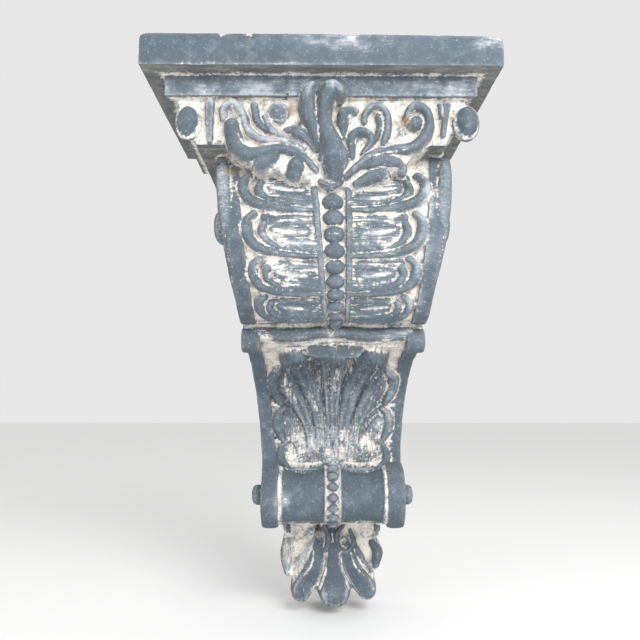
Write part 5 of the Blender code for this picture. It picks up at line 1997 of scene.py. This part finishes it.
@dataclass(frozen=True)
class PaintedStone:
    """Slate blue-grey paint, rubbed, over cream ground that shows in the recesses and in specks; painted
    shade darkens its creases, holes and deepest crevices, and a painted highlight lies down the right rim.
    """

    slate: Colour = (0.089, 0.117, 0.143, 1.0)
    slate_light: Colour = (0.16, 0.198, 0.236, 1.0)
    slate_pale: Colour = (0.31, 0.355, 0.4, 1.0)
    slate_dark: Colour = (0.068, 0.092, 0.113, 1.0)
    chalk: Colour = (0.5, 0.52, 0.54, 1.0)
    cream: Colour = (0.8, 0.755, 0.69, 1.0)
    cream_dull: Colour = (0.36, 0.345, 0.32, 1.0)
    ochre: Colour = (0.36, 0.235, 0.11, 1.0)
    # Near-black for the painted shade in the holes and the deepest crevices
    pit_and_crevice_shade: Colour = (0.035, 0.032, 0.028, 1.0)
    # Near-black slate for the painted shade in creases
    crease_shade_slate: Colour = (0.045, 0.052, 0.06, 1.0)
    olive: Colour = (0.19, 0.19, 0.175, 1.0)
    olive_light: Colour = (0.36, 0.355, 0.335, 1.0)
    olive_dark: Colour = (0.12, 0.122, 0.115, 1.0)
    cloud_scale: float = 18.0
    blot_scale: float = 80.0
    fleck_scale: float = 330.0
    dust_scale: float = 900.0
    brush_scale: float = 300.0
    drag_scale: float = 190.0
    weather_scale: float = 60.0
    combed_weight: float = 1.9
    bump_strength: float = 0.55
    bump_depth: float = 0.0011
    least_roughness: float = 0.62
    roughness_range: float = 0.32
    specular: float = 0.35

    def material(self) -> bpy.types.Material:
        """The finish as a material of nodes.

        Returns:
            The material.
        """
        made = bpy.data.materials.new("painted_cast_stone")
        graph = Graph(made)
        place = graph.node("ShaderNodeTexCoord").outputs["Object"]
        streaks = graph.node("ShaderNodeMapping", Vector=place, Scale=(0.25, 1.0, 1.6)).outputs[0]
        turn, shape = (0.6, 0.5, 0.0), (0.3, 1.0, 1.8)
        slanted = graph.node("ShaderNodeMapping", Vector=place, Rotation=turn, Scale=shape).outputs[0]
        cloud = graph.noise(place, self.cloud_scale, 3.0)
        blot = graph.noise(place, self.blot_scale, 5.0, 0.65)
        fleck = graph.noise(place, self.fleck_scale, 4.0, 0.7)
        dust = graph.noise(place, self.dust_scale, 3.0, 0.7)
        brush = graph.mix(graph.mask("back"), graph.noise(streaks, self.brush_scale, 4.0, 0.7), blot)
        drag = graph.mix(graph.mask("back"), graph.noise(slanted, self.drag_scale, 4.0, 0.65), blot)
        weather = graph.mix(graph.mask("back"), graph.noise(slanted, self.weather_scale), cloud)
        centred = graph.maths("SUBTRACT", fleck, 0.5)
        blotted = graph.maths("SUBTRACT", blot, 0.5)
        brushed = graph.maths("SUBTRACT", brush, 0.5)
        dusty = graph.maths("SUBTRACT", dust, 0.5)
        level = graph.node("ShaderNodeMapping", Vector=place, Scale=(0.1, 0.5, 1.0)).outputs[0]
        upright = graph.node("ShaderNodeMapping", Vector=place, Scale=(1.0, 0.3, 0.12)).outputs[0]
        above = graph.ramp(graph.node("ShaderNodeSeparateXYZ", Vector=place).outputs["Z"], -0.004, 0.004)
        combed = graph.mix(above, graph.noise(upright, 520.0, 3.0, 0.7), graph.noise(level, 620.0, 3.0, 0.7))
        combed = graph.maths("MULTIPLY", graph.maths("SUBTRACT", combed, 0.5), graph.mask("thin"))
        ragged = ((centred, 1.0), (blotted, 0.9), (dusty, 0.7), (brushed, 0.5), (combed, self.combed_weight))

        slate = graph.mix(graph.ramp(cloud, 0.3, 0.7), self.slate_dark, self.slate)
        slate = graph.mix(graph.ramp(blot, 0.44, 0.85), slate, self.slate_light)
        # Paler slate where rubbed, and the painted highlight down the right rim
        worn = graph.maths("MULTIPLY", graph.ramp(graph.mask("rub_and_rim_highlight"), 0.05, 1.0), 0.62)
        slate = graph.mix(worn, slate, self.slate_pale)
        rubbed = graph.total((graph.mask("rub_and_rim_highlight"), 1.0), (brushed, 1.3), (centred, 1.0))
        slate = graph.mix(graph.maths("MULTIPLY", graph.ramp(rubbed, 0.3, 1.1), 0.72), slate, self.chalk)
        olive = graph.mix(graph.ramp(drag, 0.42, 0.7), self.olive, self.olive_light)
        olive = graph.mix(graph.ramp(weather, 0.28, 0.66), self.olive_dark, olive)
        paint = graph.mix(graph.maths("MULTIPLY", graph.mask("plain"), 0.85), slate, olive)

        clean = graph.ramp(graph.total((blot, 1.0), (centred, 0.6)), 0.3, 0.58)
        cream = graph.mix(clean, self.cream_dull, self.cream)
        showing = graph.ramp(graph.total((graph.mask("cream"), 1.0), *ragged), 0.3, 0.78)
        bare = graph.mix(showing, paint, cream)
        specks = graph.ramp(graph.total((dust, 1.0), (centred, 0.6)), 0.65, 0.73)
        bare = graph.mix(graph.maths("MULTIPLY", specks, 0.7), bare, self.cream)
        stain = graph.ramp(graph.total((graph.mask("stain"), 1.0), (blotted, 0.9)), 0.3, 0.95)
        bare = graph.mix(graph.maths("MULTIPLY", stain, 0.8), bare, self.ochre)
        # Painted shade in the creases
        bare = graph.mix(graph.mask("painted_crease_shade"), bare, self.crease_shade_slate)
        # Painted shade in the holes and the deepest crevices
        dark = graph.ramp(graph.total((graph.mask("pit_and_crevice_shade"), 1.0), (centred, 0.9)), 0.45, 0.85)
        bare = graph.mix(dark, bare, self.pit_and_crevice_shade)

        relief = graph.total((blot, 0.7), (fleck, 0.5), (showing, -0.3), (brush, 0.35))
        bump = graph.node("ShaderNodeBump", Strength=self.bump_strength, Distance=self.bump_depth)
        graph.feed(bump.inputs["Height"], relief)
        rough = graph.maths("ADD", self.least_roughness, graph.maths("MULTIPLY", blot, self.roughness_range))
        bumped = bump.outputs[0]
        shader = graph.node("ShaderNodeBsdfPrincipled", Base_Color=bare, Roughness=rough, Normal=bumped)
        shader.inputs["Specular IOR Level"].default_value = self.specular
        shader.inputs["Metallic"].default_value = 0.0
        graph.node("ShaderNodeOutputMaterial", Surface=shader.outputs[0])
        return made


@dataclass(frozen=True)
class Studio:
    """The pale floor, the soft lights and the camera at the photograph's angle."""

    camera_place: Place = (-0.0069, -0.8424, -0.0586)
    camera_pitch: float = 7.05
    camera_yaw: float = -0.51
    lens: float = 36.0
    floor_height: float = -0.3095
    floor_half: float = 6.0
    floor_colour: Colour = (0.86, 0.86, 0.855, 1.0)
    sky: float = 0.8
    sky_colour: Colour = (1.0, 1.0, 1.0, 1.0)
    aim: Place = (0.0, -0.1, 0.02)

    def floor(self) -> None:
        """Lays the plain pale floor."""
        half = self.floor_half
        corners = np.array([(-half, -half, 0), (half, -half, 0), (half, half, 0), (-half, half, 0)], float)
        corners[:, 2] = self.floor_height
        floor = bpy.data.objects.new("floor", new_mesh("floor", corners, np.array([[0, 1, 2, 3]])))
        bpy.context.scene.collection.objects.link(floor)
        material = bpy.data.materials.new("pale_floor")
        graph = Graph(material)
        shader = graph.node("ShaderNodeBsdfPrincipled", Base_Color=self.floor_colour, Roughness=0.9)
        graph.node("ShaderNodeOutputMaterial", Surface=shader.outputs[0])
        floor.data.materials.append(material)

    def light(self, name: str, place: Sequence[float], size: float, power: float) -> None:
        """Adds a soft square light that faces the corbel.

        Args:
            name: The light's name.
            place: Where it stands.
            size: The length of its side.
            power: Its power in watts.
        """
        data = bpy.data.lights.new(name, "AREA")
        data.shape = "SQUARE"
        data.size = size
        data.energy = power
        lamp = bpy.data.objects.new(name, data)
        lamp.location = place
        lamp.rotation_euler = (Vector(self.aim) - Vector(place)).to_track_quat("-Z", "Y").to_euler()
        bpy.context.scene.collection.objects.link(lamp)

    def camera(self) -> None:
        """Adds the camera and makes it the scene's."""
        data = bpy.data.cameras.new("camera")
        data.sensor_width = 36.0
        data.lens = self.lens
        data.clip_start = 0.01
        camera = bpy.data.objects.new("camera", data)
        camera.location = self.camera_place
        camera.rotation_euler = (math.radians(90 + self.camera_pitch), 0.0, math.radians(self.camera_yaw))
        bpy.context.scene.collection.objects.link(camera)
        bpy.context.scene.camera = camera

    def build(self) -> None:
        """Sets up the whole studio."""
        self.floor()
        self.light("key", (0.62, -1.45, 0.75), 0.9, 27.0)
        self.light("fill", (-1.1, -1.3, 0.05), 1.2, 6.0)
        self.camera()
        world = bpy.data.worlds.new("studio")
        world.use_nodes = True
        sky = world.node_tree.nodes["Background"]
        sky.inputs["Color"].default_value = self.sky_colour
        sky.inputs["Strength"].default_value = self.sky
        bpy.context.scene.world = world
        bpy.context.scene.view_settings.view_transform = "Standard"


def main() -> None:
    """Builds the casting and the studio."""
    logging.basicConfig(level=logging.INFO, format="%(name)s: %(message)s")
    Studio().build()
    upper, hollow = ScrollGround(FORM.upper_profile()), ScrollGround(FORM.hollow_profile())
    clay = Clay()
    Shelf().model(clay)
    Foliage().model(clay)
    Core().model(clay, upper, hollow)
    UpperScroll().model(clay, upper)
    Volutes().model(clay)
    Waist().model(clay)
    Palmette().model(clay, hollow)
    FootRoll().model(clay)
    HangingLeaf().model(clay)
    LOG.info("clay: %d points", clay.count)
    casting = Casting().make(clay)
    casting.data.materials.clear()
    casting.data.materials.append(PaintedStone().material())


if __name__ == "__main__":
    main()
